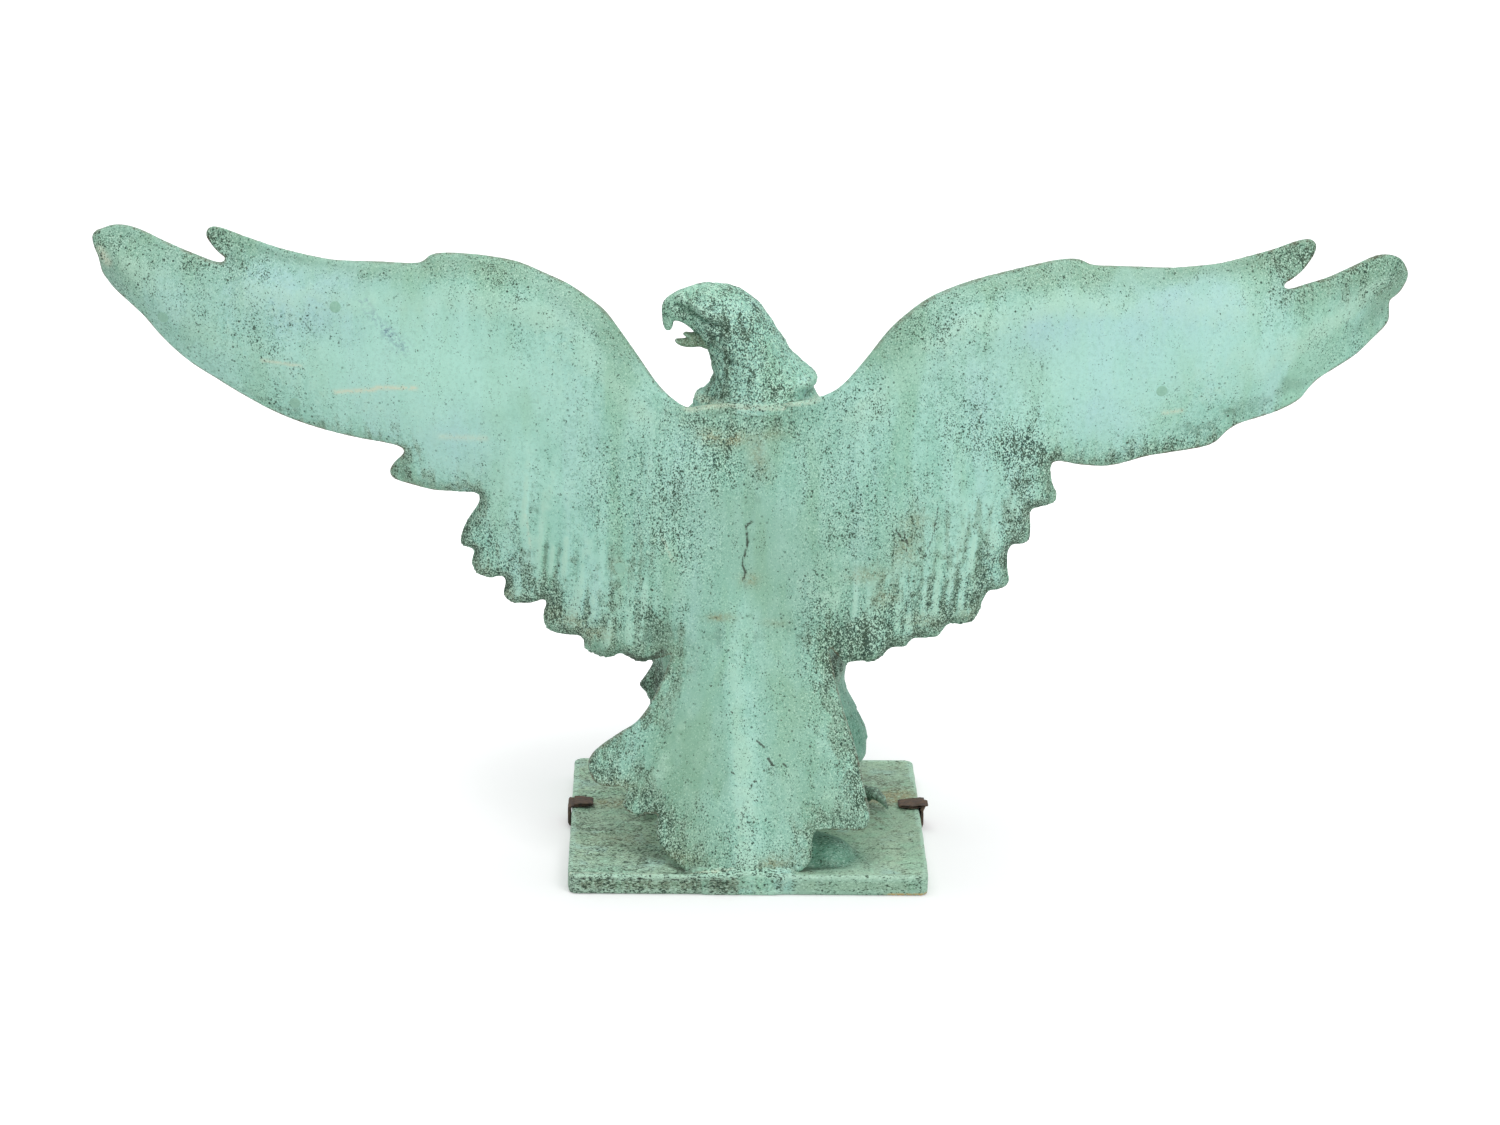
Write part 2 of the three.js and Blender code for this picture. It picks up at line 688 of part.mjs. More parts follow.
// Tail feathers: root x and height, tip x and height, and width. Heights are shares of the joint's,
// the others of the tail's half width.
const TAIL_FEATHER_SHARES = [
  [0.34, 0.68, 0.98, 0.345, 0.27],
  [0.26, 0.68, 0.79, 0.24, 0.3],
  [0.18, 0.66, 0.58, 0.12, 0.32],
  [-0.34, 0.74, -0.69, 0.245, 0.28],
  [-0.2, 0.72, -0.48, 0.13, 0.34],
];

function tailFeather(row, grow) {
  const [rootX, rootZ, tipX, tipZ, width] = row;
  const root = new THREE.Vector2(rootX * TAIL_HALF_WIDTH, rootZ * TAIL_JOINT);
  const tip = new THREE.Vector2(tipX * TAIL_HALF_WIDTH, tipZ * TAIL_JOINT);
  const along = tip.clone().sub(root);
  const across = new THREE.Vector2(-along.y, along.x).normalize();
  const back = [];
  const front = [];
  for (const place of FEATHER_PLACES) {
    const half = valueAt(FEATHER_WIDTH_SHARES, place) * width * TAIL_HALF_WIDTH * HALF + grow;
    const middle = root.clone().addScaledVector(along, place);
    const points = FEATHER_ACROSS.map((share) => middle.clone().addScaledVector(across, share * half));
    back.push(points.map((p) => v(p.x, tailBack(p.x, p.y) - WING_SINK + grow, p.y)));
    front.push(points.map((p) => v(p.x, tailBack(p.x, p.y) - TAIL_PLATE - grow, p.y)));
  }
  return sheetLoft(back, front);
}

// The raised rib down the middle of the tail.
function tailRib(grow) {
  const heights = [0.98, 0.7, 0.45, 0.25, 0.1, 0.005];
  const rings = heights.map((height) => {
    const z = height * TAIL_JOINT;
    const y = tailBack(0, z);
    const half = TAIL_RIB_HALF_WIDTH + grow;
    const proud = TAIL_RIB_RAISE + grow;
    const inside = y - TAIL_PLATE * HALF;
    return [
      v(-half, inside, z),
      v(half, inside, z),
      v(half * 0.8, y + proud * 0.6, z),
      v(half * 0.4, y + proud, z),
      v(-half * 0.4, y + proud, z),
      v(-half * 0.8, y + proud * 0.6, z),
    ];
  });
  return ringLoft(rings);
}

function tailSolid(grow) {
  let solid = tailPlate(grow).add(tailRib(grow));
  for (const row of TAIL_FEATHER_SHARES) solid = solid.add(tailFeather(row, grow));
  return solid;
}

// Neck and skull, the head turned to the left: height as a share from the seam to the crown, reach to the
// front and to the back as shares of the neck's half width, half depth as a share of the neck's half depth.
const HEAD_SHARES = [
  [0.0, 0.97, 1.12, 1.0],
  [0.06, 0.82, 1.06, 1.0],
  [0.13, 0.7, 1.03, 0.95],
  [0.19, 0.64, 1.03, 0.9],
  [0.27, 0.64, 0.93, 0.85],
  [0.35, 0.67, 0.76, 0.79],
  [0.43, 0.73, 0.65, 0.73],
  [0.53, 0.82, 0.54, 0.69],
  [0.64, 0.88, 0.42, 0.67],
  [0.75, 0.92, 0.28, 0.62],
  [0.84, 0.92, 0.15, 0.55],
  [0.91, 0.88, -0.02, 0.44],
  [0.96, 0.82, -0.2, 0.3],
  [0.99, 0.72, -0.4, 0.14],
];

function headEgg(grow) {
  const rings = HEAD_SHARES.map(([share, front, back, deep], i) =>
    ovalRing(
      (front - back) * HALF * NECK_HALF_WIDTH,
      0,
      NECK_SEAM + share * HEAD_HEIGHT - (i === 0 ? grow : 0),
      (front + back) * HALF * NECK_HALF_WIDTH + grow,
      deep * NECK_HALF_DEPTH + grow,
      deep * NECK_HALF_DEPTH + grow,
    ),
  );
  return ringLoft(rings);
}

const BEAK_LEVEL = NECK_SEAM + HEAD_HEIGHT * 0.818;
const BEAK_TIP_DROP = 22;
const BEAK_RADIUS_SHARES = [1, 1, 0.98, 0.82, 0.54, 0.33, 0.12];
const BEAK_REACH_SHARES = [-0.25, 0, 0.42, 0.75, 0.94, 0.97, 0.9];
const BEAK_DROP_SHARES = [0, 0, -0.01, 0.13, 0.4, 0.7, 1];
const BEAK_FLATTEN = 1.25;

function upperBeak(grow) {
  const length = BEAK_REACH - BEAK_ROOT_X;
  const path = BEAK_REACH_SHARES.map((share, i) =>
    v(BEAK_ROOT_X + share * length, 0, BEAK_LEVEL - BEAK_DROP_SHARES[i] * BEAK_TIP_DROP),
  );
  const radii = BEAK_RADIUS_SHARES.map((share) => share * BEAK_ROOT_RADIUS);
  return limb(path, radii, 12, 12, BEAK_FLATTEN, grow);
}

const BROW_RADIUS = 5.5;
const BROW_X = 36;
const BROW_REACH = 13;

// The ridge over each eye, from the beak's root back along the skull.
function brow(side) {
  const y = side * NECK_HALF_DEPTH;
  const path = [
    v(BROW_X - BROW_REACH, y * 0.56, BEAK_LEVEL - BROW_RADIUS),
    v(BROW_X, y * 0.5, BEAK_LEVEL - BROW_RADIUS * HALF),
    v(BROW_X + BROW_REACH, y * 0.26, BEAK_LEVEL + BROW_RADIUS * HALF),
  ];
  return limb(path, [BROW_RADIUS * HALF, BROW_RADIUS, BROW_RADIUS * HALF], 4, 8);
}

// The lower beak with its tongue.
const JAW_LEVEL = NECK_SEAM + HEAD_HEIGHT * 0.475;
const JAW_RADIUS = 7;
const JAW_REACH = 64.5;
const TONGUE_REACH = 55.5;
const JAW_RADIUS_SHARES = [1, 1, 0.72, 0.2];
const TONGUE_RADIUS_SHARES = [0.8, 0.66, 0.2];

function lowerBeakSolid() {
  const root = BEAK_ROOT_X;
  const jawPath = [
    v(root - JAW_RADIUS * 1.5, 0, JAW_LEVEL + JAW_RADIUS),
    v(root + JAW_RADIUS, 0, JAW_LEVEL + JAW_RADIUS * 0.7),
    v(JAW_REACH - JAW_RADIUS * 1.4, 0, JAW_LEVEL + JAW_RADIUS * 0.4),
    v(JAW_REACH, 0, JAW_LEVEL + JAW_RADIUS * 0.35),
  ];
  const tonguePath = [
    v(root, 0, JAW_LEVEL + JAW_RADIUS * 1.4),
    v(TONGUE_REACH - JAW_RADIUS * 1.2, 0, JAW_LEVEL + JAW_RADIUS * 1.35),
    v(TONGUE_REACH, 0, JAW_LEVEL + JAW_RADIUS * 1.5),
  ];
  const jaw = limb(jawPath, JAW_RADIUS_SHARES.map((share) => share * JAW_RADIUS), 8, 12);
  const tongue = limb(tonguePath, TONGUE_RADIUS_SHARES.map((share) => share * JAW_RADIUS), 5, 8);
  return jaw.add(tongue);
}

// Feet: four toes, each an arched limb that ends in a claw on the plate.
const TOE_ANGLES = { left: [-132, -92, -48, 60], right: [-112, -80, -46, 141] };
const PLATE_TOP = BASE_HEIGHT + FIT_GAP;
const CLAW_ROOT_SHARE = 0.62;

function toe(centre, degrees, lengthShare) {
  const angle = THREE.MathUtils.degToRad(degrees);
  const reach = TOE_LENGTH * lengthShare;
  const out = v(Math.cos(angle), Math.sin(angle), 0);
  const at = (distance, height) => centre.clone().addScaledVector(out, distance).setZ(PLATE_TOP + height);
  const knuckle = limb(
    [
      at(0, TOE_RADIUS * 1.6),
      at(reach * 0.35, TOE_RADIUS * 1.7),
      at(reach * 0.7, TOE_RADIUS * 1.15),
      at(reach, TOE_RADIUS * 1.02),
    ],
    [TOE_RADIUS * 1.1, TOE_RADIUS, TOE_RADIUS * 0.9, TOE_RADIUS * 0.72],
    5,
    8,
  );
  const claw = limb(
    [
      at(reach - TOE_RADIUS * HALF, TOE_RADIUS * 1.05),
      at(reach + CLAW_LENGTH * 0.42, TOE_RADIUS * 1.25),
      at(reach + CLAW_LENGTH * 0.85, TOE_RADIUS * 0.7),
      at(reach + CLAW_LENGTH, TOE_RADIUS * 0.12),
    ],
    [TOE_RADIUS * CLAW_ROOT_SHARE, TOE_RADIUS * 0.55, TOE_RADIUS * 0.3, TOE_RADIUS * 0.08],
    5,
    6,
  );
  return knuckle.add(claw);
}

const TOE_LENGTH_SHARES = [0.86, 1, 0.86, 0.72];

function footSolid(side) {
  const centre = footPlace(side);
  const angles = side > 0 ? TOE_ANGLES.left : TOE_ANGLES.right;
  const height = ANKLE_HEIGHT - PLATE_TOP + SHANK_LENGTH;
  let solid = bar(centre.clone().setZ(PLATE_TOP), v(0, 0, 1), height, SHANK_RADIUS);
  angles.forEach((angle, i) => {
    solid = solid.add(toe(centre, angle, TOE_LENGTH_SHARES[i]));
  });
  const floor = block(v(-BASE_WIDTH, -BASE_DEPTH, -BASE_HEIGHT), v(BASE_WIDTH, BASE_DEPTH, PLATE_TOP));
  const bore = bar(centre, v(0, 0, 1), WING_TOP, STUD_RADIUS + FIT_GAP);
  return solid.subtract(floor).subtract(bore);
}

// A rounded rectangle for the base plate and its hollow.
function roundedRectangle(width, depth, radius) {
  const x = width * HALF;
  const y = depth * HALF;
  const shape = new THREE.Shape();
  shape.moveTo(-x + radius, -y);
  shape.lineTo(x - radius, -y);
  shape.absarc(x - radius, -y + radius, radius, -Math.PI / 2, 0);
  shape.lineTo(x, y - radius);
  shape.absarc(x - radius, y - radius, radius, 0, Math.PI / 2);
  shape.lineTo(-x + radius, y);
  shape.absarc(-x + radius, y - radius, radius, Math.PI / 2, Math.PI);
  shape.lineTo(-x, -y + radius);
  shape.absarc(-x + radius, -y + radius, radius, Math.PI, Math.PI * 1.5);
  return shape;
}

function basePlate() {
  const outline = roundedRectangle(BASE_WIDTH - BASE_BEVEL * 2, BASE_DEPTH - BASE_BEVEL * 2, BASE_CORNER);
  const outer = new THREE.ExtrudeGeometry(outline, {
    depth: BASE_HEIGHT - BASE_BEVEL * 2,
    bevelEnabled: true,
    bevelThickness: BASE_BEVEL,
    bevelSize: BASE_BEVEL,
    bevelSegments: 2,
    curveSegments: 4,
  });
  outer.translate(0, 0, BASE_BEVEL);
  const hollow = new THREE.ExtrudeGeometry(
    roundedRectangle(BASE_WIDTH - BASE_RIM * 2, BASE_DEPTH - BASE_RIM * 2, BASE_CORNER * HALF),
    { depth: BASE_HEIGHT - BASE_SLAB + CUT_OVERRUN, bevelEnabled: false, curveSegments: 3 },
  );
  hollow.translate(0, 0, -CUT_OVERRUN);
  let solid = solidOf(outer).add(mound()).subtract(solidOf(hollow));
  for (const side of [1, -1]) {
    const start = footPlace(side).setZ(-CUT_OVERRUN);
    solid = solid.subtract(bar(start, v(0, 0, 1), BASE_HEIGHT * 2, STUD_RADIUS + FIT_GAP));
  }
  const slotHalf = STRAP_WIDTH * HALF + STRAP_CLEARANCE;
  const slotTop = STRAP_THICKNESS + STRAP_BEND + STRAP_CLEARANCE;
  const slot = block(
    v(-BASE_WIDTH, STRAP_Y - slotHalf, -CUT_OVERRUN),
    v(BASE_WIDTH, STRAP_Y + slotHalf, slotTop),
  );
  return solid.subtract(slot);
}

// The cast lump that carries the tail.
const MOUND_SECTION_SHARES = [
  [0, 1],
  [0.35, 0.97],
  [0.7, 0.84],
  [0.9, 0.62],
  [1, 0.3],
];

function mound() {
  const bottom = BASE_HEIGHT - BASE_SLAB * HALF;
  const rise = MOUND_HEIGHT + BASE_SLAB * HALF;
  const rings = MOUND_SECTION_SHARES.map(([height, size]) => {
    const half = MOUND_WIDTH * HALF * size;
    const deep = MOUND_DEPTH * HALF * size;
    return ovalRing(MOUND_X, MOUND_Y, bottom + rise * height, half, deep, deep, 2.6);
  });
  return ringLoft(rings);
}

// The iron strap: a flat bar bent along a line in X and Z, as wide as the strap.
function strapSolid() {
  const rise = STRAP_THICKNESS * HALF;
  const sideX = BASE_WIDTH * HALF + STRAP_CLEARANCE + rise;
  const low = STRAP_CLEARANCE + rise;
  const overTop = BASE_HEIGHT + STRAP_CLEARANCE + rise;
  const fold = STRAP_THICKNESS + STRAP_LIFT;
  const inner = sideX - STRAP_LAP;
  const bend = STRAP_BEND + rise;
  const endOf = (side, reach, curl) => [
    v(side * reach, 0, overTop + fold * 1.1 - curl),
    v(side * (reach - STRAP_LAP * 0.3), 0, overTop + fold * 1.25),
    v(side * (inner + fold), 0, overTop + fold),
    v(side * (inner + rise * 0.3), 0, overTop + fold * 0.86),
    v(side * (inner - rise * HALF), 0, overTop + fold * HALF),
    v(side * (inner + rise * 0.3), 0, overTop + fold * 0.14),
    v(side * (inner + fold), 0, overTop),
    v(side * (sideX - bend), 0, overTop),
    v(side * (sideX - bend * 0.3), 0, overTop - bend * 0.3),
    v(side * sideX, 0, overTop - bend),
    v(side * sideX, 0, low + bend),
    v(side * (sideX - bend * 0.3), 0, low + bend * 0.3),
    v(side * (sideX - bend), 0, low),
  ];
  const leftReach = sideX - STRAP_LAP * 0.2;
  const rightReach = sideX + STRAP_LAP * 0.1;
  const line = [...endOf(1, leftReach, 0), ...endOf(-1, rightReach, STRAP_LIFT).reverse()];
  const left = [];
  const right = [];
  line.forEach((p, i) => {
    const before = line[Math.max(0, i - 1)];
    const after = line[Math.min(line.length - 1, i + 1)];
    const along = after.clone().sub(before).normalize();
    const normal = v(-along.z, 0, along.x);
    left.push(p.clone().addScaledVector(normal, rise));
    right.push(p.clone().addScaledVector(normal, -rise));
  });
  const outline = [...left, ...right.reverse()].map((p) => new THREE.Vector2(p.x, p.z));
  const geometry = new THREE.ExtrudeGeometry(new THREE.Shape(outline), {
    depth: STRAP_WIDTH,
    bevelEnabled: false,
  });
  geometry.rotateX(Math.PI / 2);
  geometry.translate(0, STRAP_Y + STRAP_WIDTH * HALF, 0);
  return solidOf(geometry);
}

// Bolts from inside the torso into the root of each wing and of the tail:
// x as a share of the torso's half width, height as a share of the neck seam.
const WING_BOLT_SHARES = [
  [0.34, 0.9],
  [0.56, 0.76],
  [0.5, 0.61],
];
const TAIL_BOLT_SHARES = [0.34, 0.49];

// Round plugs over the core holes in the wings' backs, as shares of the half span and the wing top.
const PLUG_SHARES = {
  left_wing_plug_tip: [0.891, 0.849],
  left_wing_plug_outer: [0.691, 0.719],
  left_wing_plug_upper: [0.626, 0.884],
  left_wing_plug_inner: [0.197, 0.484],
  right_wing_plug_outer: [-0.62, 0.758],
};

// Depth of the torso's back surface.
function torsoBack(x, z) {
  const level = z / NECK_SEAM;
  const wide = valueAt(TORSO_SHARES.map((row) => [row[0], row[1]]), level) * TORSO_HALF_WIDTH;
  const back = valueAt(TORSO_SHARES.map((row) => [row[0], row[2]]), level) * TORSO_BACK;
  return back * Math.max(0, 1 - (Math.abs(x) / wide) ** TORSO_POWER) ** (1 / TORSO_POWER);
}

// A bolt with its head at a place inside the torso, pointing backwards. grow gives the hole that takes it.
function bolt(spot, grow) {
  const headStart = spot.clone().add(v(0, -BOLT_HEAD_DEPTH - grow, 0));
  const head = bar(headStart, v(0, 1, 0), BOLT_HEAD_DEPTH + grow * 2, BOLT_HEAD_RADIUS + grow);
  const shank = bar(spot, v(0, 1, 0), BOLT_LENGTH + grow, BOLT_RADIUS + grow);
  return head.add(shank);
}

const boltPlaces = {};
const boltPlace = (x, z) => v(x, torsoBack(x, z) - BOSS_DEPTH, z);
for (const [side, name] of [
  [1, "left"],
  [-1, "right"],
]) {
  WING_BOLT_SHARES.forEach(([x, z], i) => {
    const label = name + "_wing_bolt_" + (i + 1);
    boltPlaces[label] = boltPlace(side * x * TORSO_HALF_WIDTH, z * NECK_SEAM);
  });
  const [tailX, tailZ] = TAIL_BOLT_SHARES;
  boltPlaces["tail_bolt_" + name] = boltPlace(side * tailX * TORSO_HALF_WIDTH, tailZ * NECK_SEAM);
}

// Neck pins through the skirt of the neck into the collar, on the breast side.
const PIN_RISE = 8; // above the neck seam
const PIN_HEADINGS = {
  neck_pin_left: [0.72, -0.69],
  neck_pin_right: [-0.72, -0.69],
};

function pinBar([headingX, headingY], grow) {
  const [, front, back, deep] = HEAD_SHARES[1];
  const middle = (front - back) * HALF * NECK_HALF_WIDTH;
  const halfX = (front + back) * HALF * NECK_HALF_WIDTH;
  const reach = 1 / Math.hypot(headingX / halfX, headingY / (deep * NECK_HALF_DEPTH)) - PIN_SINK;
  const z = NECK_SEAM + PIN_RISE;
  const start = v(middle + headingX * (reach + grow), headingY * (reach + grow), z);
  return bar(start, v(-headingX, -headingY, 0), PIN_LENGTH + grow * 2, PIN_RADIUS + grow);
}

function plugBar(x, z, grow) {
  const start = v(x, wingBack(x, z) + (grow ? CUT_OVERRUN : -WING_SINK), z);
  const length = PLUG_DEPTH + (grow ? CUT_OVERRUN : -WING_SINK) + grow;
  return bar(start, v(0, -1, 0), length, PLUG_RADIUS + grow);
}

// Pins from the mound into the middle of the tail's plate.
function tailFootPin(side, grow) {
  const x = MOUND_X + side * TAIL_PIN_SPREAD;
  const start = v(x, MOUND_Y, TAIL_PIN_HEIGHT).add(v(0, -grow, -grow));
  const length = tailBack(x, TAIL_PIN_HEIGHT) - TAIL_PLATE * HALF - MOUND_Y;
  return bar(start, v(0, 1, 0), length + grow * 2, PIN_RADIUS + grow);
}

// Studs that tie each foot to the thigh and the plate, with a washer and a nut below the slab.
const slabUnder = BASE_HEIGHT - BASE_SLAB;
const nutBottom = slabUnder - FIT_GAP - WASHER_THICKNESS - FIT_GAP - NUT_THICKNESS;

function footStud(side, grow) {
  const start = footPlace(side).setZ(nutBottom - grow);
  return bar(start, v(0, 0, 1), STUD_LENGTH + grow * 2, STUD_RADIUS + grow);
}

function washer(side) {
  const start = footPlace(side).setZ(slabUnder - FIT_GAP - WASHER_THICKNESS);
  const disc = bar(start, v(0, 0, 1), WASHER_THICKNESS, WASHER_RADIUS);
  return disc.subtract(footStud(side, FIT_GAP));
}

function nut(side) {
  const foot = footPlace(side);
  const geometry = new THREE.CylinderGeometry(NUT_RADIUS, NUT_RADIUS, NUT_THICKNESS, 6);
  geometry.rotateX(Math.PI / 2);
  geometry.translate(foot.x, foot.y, nutBottom + NUT_THICKNESS * HALF);
  return solidOf(geometry).subtract(footStud(side, FIT_GAP));
}

// Castings, cut to fit each other.
const torsoKeepOut = torsoFull(FIT_GAP);
const headKeepOut = headEgg(FIT_GAP);
const tailKeepOut = tailSolid(FIT_GAP);

function torsoCasting() {
  const shankHole = (side) =>
    bar(footPlace(side), v(0, 0, 1), ANKLE_HEIGHT + SHANK_LENGTH + FIT_GAP, SHANK_RADIUS + FIT_GAP);
  const boreTop = NECK_SEAM + COLLAR_HEIGHT;
  let solid = torsoFull(0).add(collar(0, NECK_SEAM - CUT_OVERRUN, boreTop));
  const neckBore = collar(-TORSO_WALL, NECK_SEAM - TORSO_WALL * 2, boreTop + CUT_OVERRUN);
  let hollow = torsoEgg(-TORSO_WALL).add(neckBore);
  for (const spot of Object.values(boltPlaces)) {
    hollow = hollow.subtract(bar(spot, v(0, 1, 0), BOSS_DEPTH * 2, BOSS_RADIUS));
  }
  solid = solid.subtract(hollow);
  for (const side of [1, -1]) {
    solid = solid.subtract(shankHole(side)).subtract(footStud(side, FIT_GAP));
  }
  for (const spot of Object.values(boltPlaces)) solid = solid.subtract(bolt(spot, FIT_GAP));
  for (const heading of Object.values(PIN_HEADINGS)) solid = solid.subtract(pinBar(heading, FIT_GAP));
  return solid;
}

function headCasting() {
  let solid = headEgg(0).add(upperBeak(0)).add(brow(1)).add(brow(-1));
  const boreTop = NECK_SEAM + COLLAR_HEIGHT + FIT_GAP;
  solid = solid.subtract(collar(FIT_GAP, NECK_SEAM - CUT_OVERRUN, boreTop));
  solid = solid.subtract(collar(-HEAD_WALL, NECK_SEAM, boreTop + HEAD_WALL * 2));
  solid = solid.subtract(torsoKeepOut);
  for (const heading of Object.values(PIN_HEADINGS)) solid = solid.subtract(pinBar(heading, FIT_GAP));
  return solid;
}

function lowerBeakCasting() {
  return lowerBeakSolid().subtract(headEgg(FIT_GAP)).subtract(upperBeak(FIT_GAP));
}

function wingPart(side, rows, feathers) {
  let solid = wingCasting(side, rows, feathers)
    .subtract(torsoKeepOut)
    .subtract(headKeepOut)
    .subtract(tailKeepOut);
  const reach = HALF_SPAN * 2;
  const otherSide = block(
    v(side > 0 ? -reach : -FIT_GAP * HALF, -reach, -reach),
    v(side > 0 ? FIT_GAP * HALF : reach, reach, reach),
  );
  solid = solid.subtract(otherSide);
  for (const spot of Object.values(boltPlaces)) solid = solid.subtract(bolt(spot, FIT_GAP));
  for (const [x, z] of Object.values(PLUG_SHARES)) {
    solid = solid.subtract(plugBar(x * HALF_SPAN, z * WING_TOP, FIT_GAP));
  }
  return solid;
}

function tailCasting() {
  let solid = tailSolid(0).subtract(torsoKeepOut);
  for (const spot of Object.values(boltPlaces)) solid = solid.subtract(bolt(spot, FIT_GAP));
  for (const side of [1, -1]) solid = solid.subtract(tailFootPin(side, FIT_GAP));
  return solid;
}

function baseCasting() {
  let solid = basePlate().subtract(tailKeepOut);
  for (const side of [1, -1]) solid = solid.subtract(tailFootPin(side, FIT_GAP));
  return solid;
}

const eagle = new THREE.Group();

function place(name, solid, finish) {
  const mesh = new THREE.Mesh(geometryOf(solid), new THREE.MeshStandardMaterial(finish));
  mesh.name = name;
  eagle.add(mesh);
}

place("base_plate", baseCasting(), verdigris);
place("torso", torsoCasting(), verdigris);
place("head", headCasting(), verdigris);
place("lower_beak", lowerBeakCasting(), verdigrisDark);
place("left_wing", wingPart(1, LEFT_WING_SHARES, LEFT_FEATHER_SHARES), verdigris);
place("right_wing", wingPart(-1, RIGHT_WING_SHARES, RIGHT_FEATHER_SHARES), verdigris);
place("tail", tailCasting(), verdigris);
place("hold_down_strap", strapSolid(), rustyIron);
for (const [side, name] of [
  [1, "left"],
  [-1, "right"],
]) {
  place(name + "_foot", footSolid(side), verdigrisDark);
  place(name + "_foot_stud", footStud(side, 0), bareBronze);
  place(name + "_foot_washer", washer(side), bareBronze);
  place(name + "_foot_nut", nut(side), bareBronze);
  place("tail_pin_" + name, tailFootPin(side, 0), bareBronze);
}
for (const [name, spot] of Object.entries(boltPlaces)) {
  place(name, bolt(spot, 0), bareBronze);
}
for (const [name, heading] of Object.entries(PIN_HEADINGS)) {
  place(name, pinBar(heading, 0), verdigrisDark);
}
for (const [name, [x, z]] of Object.entries(PLUG_SHARES)) {
  place(name, plugBar(x * HALF_SPAN, z * WING_TOP, 0), verdigrisDark);
}

export default eagle;
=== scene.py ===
# The looks of a cast bronze eagle ornament with a green patina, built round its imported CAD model.
# Shapes are worked out in millimetres and made into meshes in metres, in the frame of the CAD:
# the eagle faces -Y, its left wing reaches towards +X and the plate's underside is at Z 0.
import math

import bmesh
import bpy
import numpy as np
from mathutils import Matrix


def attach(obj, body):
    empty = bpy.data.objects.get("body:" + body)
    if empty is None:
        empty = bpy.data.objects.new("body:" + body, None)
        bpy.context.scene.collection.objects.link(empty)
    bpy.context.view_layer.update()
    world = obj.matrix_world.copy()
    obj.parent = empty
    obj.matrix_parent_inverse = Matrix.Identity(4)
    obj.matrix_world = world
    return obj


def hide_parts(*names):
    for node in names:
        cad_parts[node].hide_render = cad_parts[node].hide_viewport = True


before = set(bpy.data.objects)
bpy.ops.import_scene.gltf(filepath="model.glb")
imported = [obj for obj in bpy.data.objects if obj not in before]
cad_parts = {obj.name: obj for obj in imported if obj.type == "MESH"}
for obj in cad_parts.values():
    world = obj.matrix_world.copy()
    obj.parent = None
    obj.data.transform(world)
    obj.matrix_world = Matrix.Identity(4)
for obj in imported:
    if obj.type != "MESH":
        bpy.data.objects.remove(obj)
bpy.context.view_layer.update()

import openvdb as vdb
from mathutils import Matrix, Vector

MM = 0.001
SHELL_STEP = 1.82  # between sample points of the wings, torso and tail
PLATE_STEP = 1.7
HEAD_STEP = 0.9
FOOT_STEP = 1.4
MAP_STEP = 0.9  # between the places of the flat maps of wing and tail depth

HALF_SPAN = 560.0
WING_TOP = 535.0
NECK_SEAM = 394.0
TAIL_JOINT = 212.0
PLATE_TOP = 18.0
PLATE_HALF = 152.5
STRAP_Y = -28.0
GAP = 0.1  # between two castings that are fitted to each other
SHARP_ANGLE = 52  # degrees between two faces, from which a cut edge stays sharp


# ---- Camera, floor and light
def linked(name, data):
    """A new object in the scene."""
    item = bpy.data.objects.new(name, data)
    bpy.context.scene.collection.objects.link(item)
    return item


def look(place, yaw, pitch, roll, lens):
    """A camera at a place, turned by angles in degrees from a view along -Y."""
    yaw, pitch, roll = (math.radians(a) for a in (yaw, pitch, roll))
    forward = Vector((math.sin(yaw) * math.cos(pitch), -math.cos(yaw) * math.cos(pitch), -math.sin(pitch)))
    right = forward.cross(Vector((0, 0, 1))).normalized()
    up = right.cross(forward)
    turned_right = right * math.cos(roll) + up * math.sin(roll)
    turned_up = -right * math.sin(roll) + up * math.cos(roll)
    data = bpy.data.cameras.new("camera")
    data.lens, data.sensor_width, data.clip_end = lens, 36.0, 60.0
    camera = linked("camera", data)
    axes = Matrix((turned_right, turned_up, -forward)).transposed().to_4x4()
    camera.matrix_world = Matrix.Translation(Vector(place)) @ axes
    bpy.context.scene.camera = camera


look((0.069, 3.992, 1.438), -1.0, 16.61, 0.71, 116.64)
bpy.context.scene.view_settings.view_transform = "Standard"


class Value:
    """What a shader node gives out, to be added, taken off and multiplied like a number."""

    def __init__(self, nodes, socket):
        self.nodes, self.socket = nodes, socket

    def __add__(self, other):
        return self.nodes.math("ADD", self, other)

    def __sub__(self, other):
        return self.nodes.math("SUBTRACT", self, other)

    def __rsub__(self, other):
        return self.nodes.math("SUBTRACT", other, self)

    def __mul__(self, other):
        return self.nodes.math("MULTIPLY", self, other)


